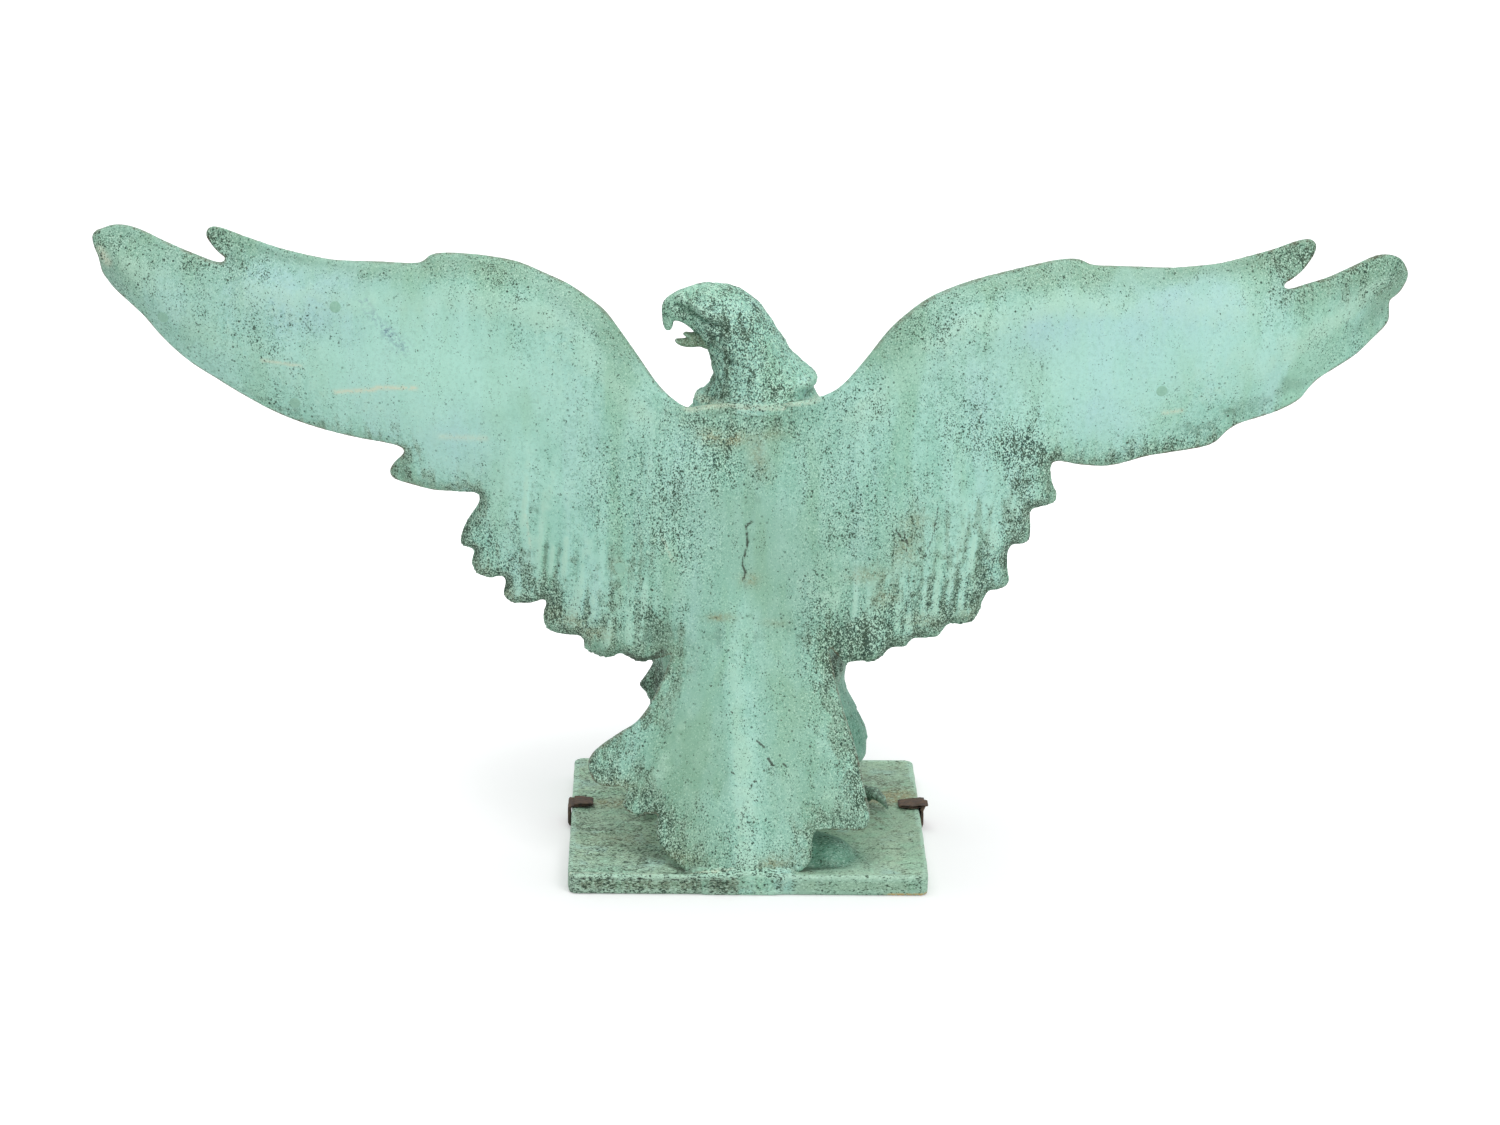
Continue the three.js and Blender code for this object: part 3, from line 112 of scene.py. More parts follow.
class Nodes:
    """Short calls for adding and joining the shader nodes of a material or a world."""

    def __init__(self, owner):
        owner.use_nodes = True
        self.tree = owner.node_tree
        self.tree.nodes.clear()

    def make(self, kind, *values, output=0, settings=None, **named):
        """A new node's output. Values go to its first inputs in turn, named ones to the inputs of that name."""
        node = self.tree.nodes.new("ShaderNode" + kind)
        for key, value in (settings or {}).items():
            setattr(node, key, value)
        pairs = [(node.inputs[name], value) for name, value in named.items()]
        for socket, value in list(zip(node.inputs, values)) + pairs:
            if isinstance(value, Value):
                value = value.socket
            if isinstance(value, bpy.types.NodeSocket):
                self.tree.links.new(value, socket)
            elif value is not None:
                socket.default_value = value
        return Value(self, node.outputs[output]) if node.outputs else None

    def math(self, operation, *values):
        return self.make("Math", *values, settings={"operation": operation})

    def mix(self, share, a, b):
        a, b = ((*c, 1.0) if isinstance(c, tuple) else c for c in (a, b))
        unused = [None] * 5  # the node's inputs for numbers and vectors
        return self.make("Mix", share, *unused, a, b, output=2, settings={"data_type": "RGBA"})

    def ramp(self, value, low, high, to_low=0.0, to_high=1.0, kind="SMOOTHSTEP"):
        return self.make("MapRange", value, low, high, to_low, to_high, settings={"interpolation_type": kind})

    def noise(self, place, scale, detail=2.0, rough=0.5, stretch=None, distortion=0.0):
        if stretch:
            place = self.make("Mapping", Vector=place, Scale=stretch)
        named = {"Vector": place, "Scale": scale, "Detail": detail, "Roughness": rough, "Distortion": distortion}
        return self.make("TexNoise", output="Fac", **named)

    def attribute(self, name):
        return self.make("Attribute", output="Fac", settings={"attribute_name": name})

    def place(self):
        return self.make("TexCoord", output="Object")

    def seen(self):
        """1 for rays that show the background: from the camera, a mirror or through glass."""
        rays = self.tree.nodes.new("ShaderNodeLightPath").outputs
        seen = self.math("MAXIMUM", rays["Is Camera Ray"], rays["Is Glossy Ray"])
        return self.math("MAXIMUM", seen, rays["Is Transmission Ray"])


def lamp(name, place, target, size_x, size_y, watts):
    data = bpy.data.lights.new(name, "AREA")
    data.shape, data.size, data.size_y, data.energy = "RECTANGLE", size_x, size_y, watts
    item = linked(name, data)
    item.location = place
    item.rotation_euler = (Vector(target) - Vector(place)).to_track_quat("-Z", "Y").to_euler()


def stage_and_light():
    world = bpy.data.worlds.new("studio")
    bpy.context.scene.world = world
    n = Nodes(world)
    lit = n.make("Background", (0.98, 0.99, 1.0, 1), 0.62)
    white = n.make("Background", None, 1.0)
    n.make("OutputWorld", n.make("MixShader", n.seen(), lit, white))

    size, below = 30.0, -0.0004
    mesh = bpy.data.meshes.new("floor")
    mesh.from_pydata([(-size, -size, 0), (size, -size, 0), (size, size, 0), (-size, size, 0)], [], [(0, 1, 2, 3)])
    floor = linked("floor", mesh)
    floor.location.z = below
    paint = bpy.data.materials.new("floor_paint")
    n = Nodes(paint)
    matt = n.make("BsdfDiffuse", (0.8, 0.8, 0.8, 1))
    # The floor glows for the camera, less near the object, so that its shadow shows and the rest turns white.
    far = n.make("VectorMath", n.place(), output="Value", settings={"operation": "LENGTH"})
    glow = n.make("Emission", None, n.ramp(far, 0.2, 0.55, 0.24, 0.62))
    off = n.make("Emission", None, 0.0)
    n.make("OutputMaterial", n.make("AddShader", matt, n.make("MixShader", n.seen(), off, glow)))
    mesh.materials.append(paint)

    lamp("key", (-1.6, 2.6, 3.0), (0, 0, 0.3), 2.2, 2.2, 62)
    lamp("top", (0.6, -0.4, 3.2), (0, 0, 0.2), 2.6, 1.8, 30)


stage_and_light()


# ---- Helpers for shapes
def smooth(value, low, high):
    """0 below low, 1 above high and a soft step between."""
    t = np.clip((value - low) / (high - low), 0.0, 1.0)
    return t * t * (3 - 2 * t)


def fall(value, low, high):
    """1 below low, 0 above high and a soft step between."""
    return 1 - smooth(value, low, high)


def bump(x, z, at_x, at_z, size_x, size_z=None):
    size_z = size_z or size_x
    return np.exp(-(((x - at_x) / size_x) ** 2) - ((z - at_z) / size_z) ** 2)


def to_line(x, z, x0, z0, x1, z1):
    """Distance to a line from (x0, z0) to (x1, z1), and how far along it the nearest place is, 0 to 1."""
    along_x, along_z = x1 - x0, z1 - z0
    t = np.clip(((x - x0) * along_x + (z - z0) * along_z) / (along_x**2 + along_z**2), 0, 1)
    return np.hypot(x - x0 - t * along_x, z - z0 - t * along_z), t


def groove(x, z, line, width, fade_from=1.0, fade_to=0.0):
    """A soft line from fade_from at its start to fade_to at its end."""
    distance, t = to_line(x, z, *line)
    return np.exp(-((distance / width) ** 2)) * (fade_from + (fade_to - fade_from) * t)


def curve(table, at):
    """A smooth line through the rows of a table of (place, value)."""
    table = np.asarray(table, float)
    place, value = table[:, 0], table[:, 1]
    slope = np.gradient(value, place)
    at = np.clip(at, place[0], place[-1])
    i = np.clip(np.searchsorted(place, at, side="right") - 1, 0, len(place) - 2)
    span = place[i + 1] - place[i]
    t = (at - place[i]) / span
    t2, t3 = t * t, t * t * t
    return (
        value[i] * (2 * t3 - 3 * t2 + 1)
        + value[i + 1] * (3 * t2 - 2 * t3)
        + span * (slope[i] * (t3 - 2 * t2 + t) + slope[i + 1] * (t3 - t2))
    )


def lattice(ix, iy, iz, seed):
    """An even spread of numbers between -1 and 1, one for each cell of space."""
    value = (ix * 73856093) ^ (iy * 19349663) ^ (iz * 83492791) ^ (seed * 2654435761)
    value = (value ^ (value >> 13)) * 1274126177
    return ((value ^ (value >> 16)) & 0xFFFF) / 32767.5 - 1.0


def rough(x, y, z, size, seed=1):
    """Smooth unevenness between -1 and 1 whose lumps are about size millimetres across."""
    place = np.broadcast_arrays(x / size, y / size, z / size)
    cell = [np.floor(a).astype(np.int64) for a in place]
    part = [smooth(a - c, 0, 1) for a, c in zip(place, cell)]
    total = 0.0
    for corner in np.ndindex(2, 2, 2):
        weight = 1.0
        for t, d in zip(part, corner):
            weight = weight * (t if d else 1 - t)
        total = total + weight * lattice(*(c + d for c, d in zip(cell, corner)), seed)
    return total


def join(a, b, radius):
    """Two solids' distances joined with a soft fillet."""
    h = np.clip(0.5 + 0.5 * (b - a) / radius, 0, 1)
    return b + (a - b) * h - radius * h * (1 - h)


def round_corner(a, b, radius):
    """What lies inside both a and b, with the edge between them rounded."""
    a, b = a + radius, b + radius
    return np.minimum(np.maximum(a, b), 0) + np.hypot(np.maximum(a, 0), np.maximum(b, 0)) - radius


def highest(*fields):
    """What lies inside all of the fields, with sharp edges."""
    total = fields[0]
    for field in fields[1:]:
        total = np.maximum(total, field)
    return total


def rounded_outline(points, parts=4):
    """More places along a closed line, so that it bends smoothly through its points."""
    p = np.asarray(points, float)
    before, after, beyond = np.roll(p, 1, 0), np.roll(p, -1, 0), np.roll(p, -2, 0)

    def knot(a, b):
        return np.maximum(np.sqrt(np.hypot(*(b - a).T)), 1e-3)[:, None]

    def between(t, t0, a, t1, b):
        return (t1 - t) / (t1 - t0) * a + (t - t0) / (t1 - t0) * b

    k1 = knot(before, p)
    k2 = k1 + knot(p, after)
    k3 = k2 + knot(after, beyond)
    rows = []
    for step in range(parts):
        t = k1 + (k2 - k1) * step / parts
        middle = between(t, k1, p, k2, after)
        b1 = between(t, 0, between(t, 0, before, k1, p), k2, middle)
        b2 = between(t, k1, middle, k3, between(t, k2, after, k3, beyond))
        rows.append(between(t, k1, b1, k2, b2))
    return np.stack(rows, 1).reshape(-1, 2)


def outline_distance(points, x, z):
    """Distance to a closed line, negative inside it."""
    nearest = np.full(x.shape, 1e9)
    inside = np.zeros(x.shape, bool)
    for (x0, z0), (x1, z1) in zip(points, np.roll(points, -1, 0)):
        nearest = np.minimum(nearest, to_line(x, z, x0, z0, x1, z1)[0])
        if z0 != z1:
            inside ^= ((z0 > z) != (z1 > z)) & (x < (x1 - x0) * (z - z0) / (z1 - z0) + x0)
    return np.where(inside, -nearest, nearest)


def blur(values, radius):
    """A map evened out over a radius that is given in places of the map."""
    width = 2 * radius + 1
    for axis in (0, 1) * 3:
        size = values.shape[axis]
        before = np.repeat(values.take([0], axis), radius + 1, axis)
        after = np.repeat(values.take([-1], axis), radius, axis)
        total = np.cumsum(np.concatenate([before, values, after], axis), axis)
        values = (total.take(range(width, width + size), axis) - total.take(range(size), axis)) / width
    return values


class FlatMap:
    """Values over X and Z, read between its places."""

    def __init__(self, x, z, values):
        self.x0, self.z0, self.step, self.values = x[0], z[0], x[1] - x[0], values

    def __call__(self, x, z):
        fx = np.clip((x - self.x0) / self.step, 0, self.values.shape[0] - 1.001)
        fz = np.clip((z - self.z0) / self.step, 0, self.values.shape[1] - 1.001)
        i, k = fx.astype(int), fz.astype(int)
        u, w = fx - i, fz - k
        v = self.values
        return (v[i, k] * (1 - u) + v[i + 1, k] * u) * (1 - w) + (v[i, k + 1] * (1 - u) + v[i + 1, k + 1] * u) * w


# ---- Wings and tail: one outline and two flat maps of depth, for the back and for the front
LEFT_WING_OUTLINE = [
    (54.6, 395.9), (66.4, 403.7), (77.4, 414.5), (96, 439.4), (113.7, 462.7), (123.8, 475.1), (135.6, 485),
    (154, 497.5), (174.1, 506.2), (195.9, 514.5), (220.3, 518.5), (245.6, 520.1), (259.9, 519.8), (270.9, 517.5),
    (275.9, 513.3), (281, 510.8), (311.5, 510), (343, 509.8), (371.1, 512.6), (398.4, 517.6), (426.5, 525.1),
    (453.8, 532.6), (459.9, 530.5), (461.7, 524.4), (457.6, 517.7), (451.7, 511.1), (445.5, 505.9), (447.9, 502.9),
    (472, 509), (497.2, 518), (519.5, 527), (532.4, 529.7), (542.9, 529.1), (550.7, 526.4), (555.5, 524.9),
    (558.9, 521.5), (557.9, 513.6), (554.1, 502.9), (552, 488.9), (547, 480.5), (541, 473.2), (529.6, 463.2),
    (516.6, 451.8), (505.4, 438.8), (495.2, 428.4), (483.6, 418.4), (469.6, 408.6), (456, 401), (442.1, 392.8),
    (406.9, 374.6), (373.4, 363.4), (334.6, 355.9), (295.8, 350.6), (294.2, 346.1), (303.2, 335.1), (306.7, 327.8),
    (305, 322.7), (299, 319.5), (276.6, 317.6), (250.7, 316.5), (230.9, 315), (230.2, 308.5), (240.8, 289.1),
    (246.1, 273.1), (245.3, 267), (235.8, 263.1), (236.7, 255.9), (236.8, 248.8), (234.2, 242.8), (225.6, 239.7),
    (210.2, 240.7), (208.5, 236.4), (210.2, 223.8), (206, 218.7), (191.4, 217.8), (174.2, 222.7), (173.4, 220.9),
    (175.9, 209.9), (175.9, 204.5), (173.4, 196.6), (164.8, 192.9), (145, 193.6), (140.7, 182.6), (136.4, 179.6),
    (121, 177.1), (113.5, 179.4), (108, 182), (103, 180.2), (97.5, 178), (90, 176.8), (83, 177), (77, 179),
    (71, 181.6), (66.5, 184.5),
]
TAIL_OUTLINE = [
    (71.5, 168.5), (79, 152.8), (85.7, 140.4), (95.8, 127.7), (109.3, 118.2), (122, 108.6), (133.1, 98.2),
    (136.5, 90.6), (134.7, 83), (129.4, 76), (115.7, 75.1), (104.6, 75.2), (103.7, 68.3), (107.1, 62.3),
    (100.2, 56.9), (87.5, 57.1), (77.3, 57.6), (78.1, 48.6), (76.3, 37.5), (67.8, 26.2), (53.3, 16.1), (41.5, 8.5),
    (34, 1.6), (-14, 1.6), (-22.7, 6.4), (-35.3, 14.9), (-43.8, 16.8), (-53, 25.2), (-53.8, 36.6), (-56.2, 47.5),
    (-81.9, 46.7), (-99.5, 45.4), (-103.3, 55.3), (-99.8, 71.6), (-95.4, 91.7), (-90.2, 111.8), (-83.3, 131.8),
    (-77.2, 150.1), (-72.5, 168.2), (-67.8, 190.8),
]
RIGHT_WING_OUTLINE = [
    (-81.4, 176.4), (-89.1, 178.3), (-109, 177.3), (-120, 186.9), (-133, 187.3), (-141.6, 193.6), (-159.9, 192.3),
    (-170.1, 203), (-183.9, 202.3), (-194.2, 206.3), (-199.1, 216.8), (-203.1, 229.1), (-217.7, 233.8), (-221.9, 238),
    (-220.7, 252.4), (-221.1, 266.8), (-225.3, 272), (-234, 272.2), (-239, 276.4), (-239.3, 289.6), (-239.6, 302.9),
    (-256, 307.7), (-259.3, 311.2), (-259.9, 316.9), (-256.9, 324.8), (-255.7, 330.6), (-256.8, 344.5),
    (-279.7, 340.9), (-304.7, 337.3), (-339.2, 344.5), (-361.8, 347), (-383.5, 349.6), (-393, 351.8), (-399, 355.1),
    (-407.4, 363.6), (-416.8, 369.3), (-435.9, 374.5), (-453.3, 379.9), (-470.5, 388.8), (-477.2, 397.3),
    (-485.6, 405.8), (-501.9, 415.6), (-517.4, 425.4), (-531.8, 438.8), (-542.8, 449.7), (-545.6, 454.9),
    (-545.8, 460.1), (-545.4, 467.2), (-546, 472.4), (-550.3, 475.7), (-554.5, 479.9), (-559, 489.3), (-559.4, 497.2),
    (-552, 510.5), (-545.7, 513.8), (-539, 514.9), (-529.6, 514), (-507, 505), (-487.1, 497.3), (-469.9, 492.8),
    (-452.6, 489.1), (-450.1, 491.5), (-458.8, 497.6), (-465.9, 502.8), (-475.9, 514.5), (-478.2, 520.5),
    (-478, 524.8), (-473.5, 528.5), (-463.1, 528), (-440.7, 521.1), (-417.5, 516), (-395.1, 511.7), (-371.7, 510.1),
    (-338.9, 509.8), (-305.4, 511.9), (-290, 512.9), (-283.1, 514.3), (-277.1, 517.3), (-271.1, 518.8),
    (-255.8, 518.4), (-240.4, 515.8), (-210.8, 509.4), (-183, 502.5), (-164.6, 496.2), (-147.2, 488.4), (-129, 474.8),
    (-113.3, 460.4), (-95.2, 438.4), (-76.1, 417.2), (-67, 410.4), (-57.8, 405.9), (-40, 400.5), (0, 399), (38, 397),
]

# Share of the half span, then a share of the wing top's height or of the sweep.
SWEEP = [
    (0, 0.07), (0.05, 0.03), (0.11, 0), (0.22, 0.07), (0.36, 0.22), (0.54, 0.42), (0.72, 0.63), (0.9, 0.86), (1, 1),
]
LEADING = [(0, 0.745), (0.1, 0.75), (0.2, 0.868), (0.28, 0.935), (0.4, 0.972), (0.6, 0.958), (0.8, 0.95), (1, 0.985)]
TRAILING = [(0, 0.397), (0.13, 0.335), (0.26, 0.36), (0.4, 0.5), (0.54, 0.63), (0.73, 0.71), (0.87, 0.79), (1, 0.93)]
TAIL_LINE = [(0, 0.47), (0.1, 0.51), (0.3, 0.63), (0.5, 0.77), (0.72, 0.9), (0.86, 0.96), (1, 1)]
WING_BACK, WING_SWEEP, WING_LEAN, TAIL_BACK, TAIL_HALF_WIDTH = 66.0, 94.0, 90.0, 148.8, 137.0
BACK_LIMIT = 151.9  # no place of the back is farther out, so that the tail stays over the plate

# Valleys between the flight feathers on the wings' backs: from the hem upwards, width and depth.
VALLEYS = [
    (231, 313, 224, 352, 7, 1.1), (237, 258, 222, 292, 6, 1.8), (210, 234, 198, 272, 6, 1.8),
    (174, 219, 166, 262, 6, 1.9), (143, 190, 138, 236, 6, 1.9), (112, 181, 109, 214, 6, 1.1),
    (92, 184, 90, 206, 5, 0.8), (-257, 327, -248, 366, 7, 1.1), (-240, 298, -226, 334, 6, 1.8),
    (-222, 268, -210, 308, 6, 1.8), (-203, 232, -194, 276, 6, 1.9), (-170, 205, -164, 250, 6, 1.9),
    (-146, 196, -141, 232, 6, 1.6), (-121, 188, -117, 222, 6, 1.4), (-97, 181, -94, 208, 6, 1.0),
    (446, 504, 372, 482, 9, 1.4), (-451, 491, -380, 474, 9, 1.4), (-546, 470, -476, 440, 10, 1.2),
    (-394, 353, -346, 388, 12, 1.2), (-472, 392, -424, 428, 11, 1.0),
]
# Folds between the tail's feathers, on its back.
TAIL_VALLEYS = [(104, 75, 40, 172, 10, 1.5), (78, 56, 30, 160, 9, 1.5), (-56, 48, -36, 170, 10, 1.6)]
# The crack down the spine: from, to, strength.
SPINE_CRACK = [
    (-1.2, 300, 4.2, 296.5, 0.95), (4.2, 296.5, 3.5, 290, 0.95), (3.5, 290, 2.5, 282.7, 1.0),
    (2.5, 282.7, 4.7, 273, 1.0), (4.7, 273, 6.9, 264.4, 1.0), (6.9, 264.4, 5.9, 261, 1.0), (5.9, 261, 4, 257, 0.9),
    (4, 257, 6.3, 250.4, 0.95),
]
# Share of the half span: the wing's thickness, and how much the upper arm adds.
WING_THICKNESS = [(0, 26), (0.1, 24), (0.18, 15), (0.3, 11), (0.5, 9.5), (0.8, 8.5), (1, 7.5)]
ARM_THICKNESS = [(0, 16), (0.15, 30), (0.3, 24), (0.48, 13), (0.8, 5), (1, 2)]


def wing_back(x, z):
    """The wings' plain back, and how far down from the leading edge a place is, 0 to 1."""
    share = np.abs(x) / HALF_SPAN
    lead, trail = curve(LEADING, share) * WING_TOP, curve(TRAILING, share) * WING_TOP
    chord = np.clip((lead - z) / (lead - trail), 0, 1)
    near = np.clip(1 - share / 0.3, 0, 1)
    back = WING_BACK - curve(SWEEP, share) * WING_SWEEP
    back = back - 16 * np.clip(1 - chord / 0.3, 0, 1) ** 2 * (1 - near)
    back = back - 18 * np.clip((chord - 0.5) / 0.5, 0, 1) ** 2 * (1 - near)
    return back + WING_LEAN * (0.52 - z / WING_TOP) * near, chord


def tail_back(x, z):
    down = np.clip((TAIL_JOINT - z) / (TAIL_JOINT - 1), 0, 1)
    return curve(TAIL_LINE, down) * TAIL_BACK - 44 * np.minimum(np.abs(x) / TAIL_HALF_WIDTH, 1) ** 1.7


def rib_middle(z):
    """X of the raised rib down the middle of the tail."""
    return 1.5 + 10.5 * smooth(z, 20, 230)


map_x = np.arange(-HALF_SPAN - 4, HALF_SPAN + 4, MAP_STEP)
map_z = np.arange(-3, WING_TOP + 2, MAP_STEP)
GX, GZ = np.meshgrid(map_x, map_z, indexing="ij")
SIDE = np.abs(GX)
shell_outline = rounded_outline(LEFT_WING_OUTLINE + TAIL_OUTLINE + RIGHT_WING_OUTLINE)
# Measured at every second place, for speed, and let out at the wings' hems, mostly downwards.
every_second = outline_distance(shell_outline, GX[::2, ::2], GZ[::2, ::2])
HEM = smooth(SIDE, 74, 92) * fall(SIDE, 262, 300) * fall(GZ, 320, 345) * smooth(GZ, 168, 174)
EDGE = FlatMap(map_x[::2], map_z[::2], every_second)(GX, GZ + 2.4 * HEM) - 2.2 * HEM
INSIDE = np.maximum(-EDGE, 0)


def back_depths(plain_back, hem):
    """The back with what is modelled on it."""
    back = plain_back
    # Ribs of the flight feathers near the hems, with finer pleats between them.
    for *line, width, depth in VALLEYS:
        back = back - depth * groove(GX, GZ, line, width)
        back = back + 0.4 * depth * groove(GX, GZ, np.add(line, (11, 2, 10, -6)), width)
    for *line, width, depth in TAIL_VALLEYS:
        back = back - depth * groove(GX, GZ, line, width)
    pleats = rough(GX + 0.08 * GZ, 0, 0.14 * GZ, 5.4, 8)
    back = back + 1.1 * pleats * hem * fall(INSIDE, 30, 100) * fall(SIDE, 180, 230)
    back = back - 6.5 * fall(INSIDE, 0, 16) ** 2 * hem
    top_roll = smooth(GZ, 400, 440) * fall(INSIDE, 0, 42) ** 2
    back = back - 4.5 * top_roll * fall(SIDE, 400, 470)
    # The tail's rib is highest along its left edge.
    middle = rib_middle(GZ)
    rib = smooth(middle + 16 - GX, 0, 13) * fall(middle - GX, -2, 20)
    back = back + rib * (1.4 * smooth(262 - GZ, 0, 70)) + 2.2 * fall(GZ, 8, 60)
    for *line, depth in SPINE_CRACK:
        back = back - 0.6 * depth * groove(GX, GZ, line, 1.1, 1, 1)
    # Slow unevenness of the casting, and pits.
    for height, size, seed in ((1.1, 70, 3), (0.45, 23, 4), (0.14, 6.5, 5)):
        back = back + height * rough(GX, 0, GZ, size, seed)
    pitted = smooth(rough(GX, 0, GZ, 55, 7), -0.1, 0.5) + hem
    back = back - 0.4 * np.clip(rough(GX, 0, GZ, 4.6, 6), 0, 1) * np.minimum(pitted, 1)
    return np.minimum(back, BACK_LIMIT)


def shell_depths():
    """Maps of the back's depth, the front's depth and the radius along the outline."""
    wing, chord = wing_back(GX, GZ)
    tail_share = fall(GZ, 180, 245) * (1 - smooth(SIDE, 74, 104) * smooth(GZ, 148, 172))
    back = blur(wing * (1 - tail_share) + tail_back(GX, GZ) * tail_share, 9)
    # The swelling of the upper arm, and the hollow between it and the spine.
    arm = np.maximum(
        groove(SIDE, GZ, (92, 408, 150, 470), 34, 1, 1),
        groove(SIDE, GZ, (150, 470, 285, 492), 26, 1, 0.4),
    )
    back = back + 5.5 * arm - 2.5 * bump(SIDE, GZ, 34, 380, 26, 34)
    hem = smooth(SIDE, 66, 90) * fall(SIDE, 236, 290) * fall(GZ, 310, 390) * smooth(GZ, 168, 174)

    share = SIDE / HALF_SPAN
    thick = curve(WING_THICKNESS, share) + curve(ARM_THICKNESS, share) * np.exp(-(((chord - 0.17) / 0.17) ** 2))
    in_tail = smooth(200 - GZ, 0, 40)
    thick = thick * (1 - in_tail) + in_tail * (11 + 20 * smooth(GZ, 140, 190))
    thin_edge = 5.5 + 26 * smooth(GZ, 395, 520) * (share < 0.62) * smooth(0.66 - share, 0, 0.2)
    thick = np.minimum(thick, thin_edge + INSIDE * 0.55)
    radius = np.clip(thick * 0.5, 1.6, 12.0)
    radius = blur(np.minimum(radius, 2.6 + 9.4 * smooth(GZ, 400, 505) * smooth(0.8 - share, 0, 0.3)), 4)
    radius = radius + 2.2 * hem
    radius = radius * (1 - 0.8 * smooth(GZ, 380, 392) * fall(SIDE, 46, 74))
    radius = radius * (1 - in_tail) + in_tail * 2.2
    return back_depths(back, hem), back - blur(thick, 5), radius


def along(table, share):
    """Places on a line of (X, Z), at shares of it."""
    table = np.asarray(table, float)
    place = np.linspace(0, 1, len(table))
    return np.stack([curve(np.stack([place, table[:, c]], 1), share) for c in (0, 1)], -1)


SHAFT_WIDTH, BARB_SPACING, BARB_HEIGHT, BARB_SLANT = 1.3, 4.2, 0.16, 1.3
TIP_LENGTH = 0.42  # of a feather's rounded tip, as a share of its width


def lay_feathers(raised, side, roots, tips, count, width, base, lift, crown, overlap, shaft=0.7):
    """One row of feathers on a map of heights. roots and tips are lines of (X, Z) from the outer end inwards.
    base to shaft are heights: at the root, added at the tip, added in the middle, of one side over the next
    feather, and of the shaft."""
    share = (np.arange(count) + 0.5) / count
    width = np.atleast_1d(width)
    widths = np.interp(share, np.linspace(0, 1, len(width)), width)
    for (rx, rz), (tx, tz), w in zip(along(roots, share), along(tips, share), widths):
        rx, tx = rx * side, tx * side
        i0, i1 = np.searchsorted(map_x, (min(rx, tx) - w, max(rx, tx) + w))
        k0, k1 = np.searchsorted(map_z, (min(rz, tz) - w, max(rz, tz) + w))
        x, z = GX[i0:i1, k0:k1] - rx, GZ[i0:i1, k0:k1] - rz
        length = math.hypot(tx - rx, tz - rz)
        ux, uz = (tx - rx) / length, (tz - rz) / length
        a = (x * ux + z * uz) / length
        across = (x * -uz + z * ux) * side
        blunt = w * TIP_LENGTH / length
        half = w * 0.5 * (0.72 + 0.28 * smooth(a, 0, 0.5))
        half = half * np.sqrt(np.clip(1 - np.clip((a - (1 - blunt)) / blunt, 0, 1) ** 2, 0, 1))
        b = across / np.maximum(half, 0.01)
        arch = np.clip(1 - b * b, 0, 1)
        height = base + lift * np.clip(a, 0, 1) + crown * arch + overlap * b * 0.5
        height = height + shaft * np.exp(-((across / SHAFT_WIDTH) ** 2)) * (1 - 0.5 * np.clip(a, 0, 1))
        barbs = np.sin((a * length - np.abs(across) * BARB_SLANT) * (2 * math.pi / BARB_SPACING))
        height = height + BARB_HEIGHT * barbs * arch
        inside = (np.abs(b) < 1) & (a > -0.06) & (a < 1)
        patch = raised[i0:i1, k0:k1]
        patch[inside] = np.maximum(patch, height)[inside]


PRIMARY_TIPS = [
    (474, 532), (560, 526), (552, 486), (524, 452), (486, 420), (444, 392), (402, 371), (362, 360), (327, 353),
    (292, 348),
]
PRIMARY_ROOTS = [
    (300, 494), (296, 486), (292, 478), (287, 470), (282, 462), (276, 454), (269, 446), (261, 438), (253, 431),
    (244, 424),
]
SECONDARY_TIPS = [
    (305, 321), (272, 315), (243, 296), (246, 266), (228, 240), (207, 220), (186, 217), (170, 194), (148, 191),
    (122, 176), (98, 180), (74, 186),
]
SECONDARY_ROOTS = [
    (246, 424), (226, 408), (206, 392), (188, 376), (170, 362), (152, 350), (134, 340), (118, 330), (102, 322),
    (88, 314), (74, 306), (62, 298),
]
GREATER_TIPS = [
    (452, 516), (438, 486), (404, 452), (350, 424), (298, 402), (262, 372), (228, 338), (190, 306), (150, 280),
    (108, 262), (66, 256),
]
GREATER_ROOTS = [
    (330, 506), (316, 500), (296, 492), (270, 480), (246, 462), (220, 440), (188, 414), (152, 384), (118, 350),
    (86, 326), (58, 312),
]
MEDIAN_TIPS = [
    (398, 514), (372, 488), (322, 462), (280, 440), (246, 414), (212, 384), (178, 352), (140, 326), (100, 310),
    (60, 300),
]
MEDIAN_ROOTS = [
    (330, 512), (304, 506), (278, 496), (252, 482), (224, 464), (196, 444), (166, 420), (130, 392), (96, 366),
    (60, 352),
]
LESSER_TIPS = [
    [(336, 510), (300, 484), (262, 466), (226, 440), (196, 410), (160, 380), (124, 352), (88, 338), (58, 330)],
    [(300, 508), (268, 490), (234, 470), (204, 442), (174, 414), (140, 386), (106, 368), (62, 358)],
    [(276, 512), (246, 502), (214, 486), (186, 462), (158, 436), (128, 412), (98, 396), (62, 384)],
    [(252, 518), (222, 510), (196, 500), (170, 484), (146, 464), (122, 440), (98, 420), (70, 404)],
]
TAIL_TIPS = [(132, 86), (104, 60), (74, 34), (44, 8), (10, 4), (-22, 12), (-52, 32), (-84, 46), (-104, 60)]
TAIL_ROOTS = [(48, 160), (38, 162), (26, 164), (14, 164), (2, 166), (-10, 164), (-22, 164), (-34, 162), (-46, 160)]
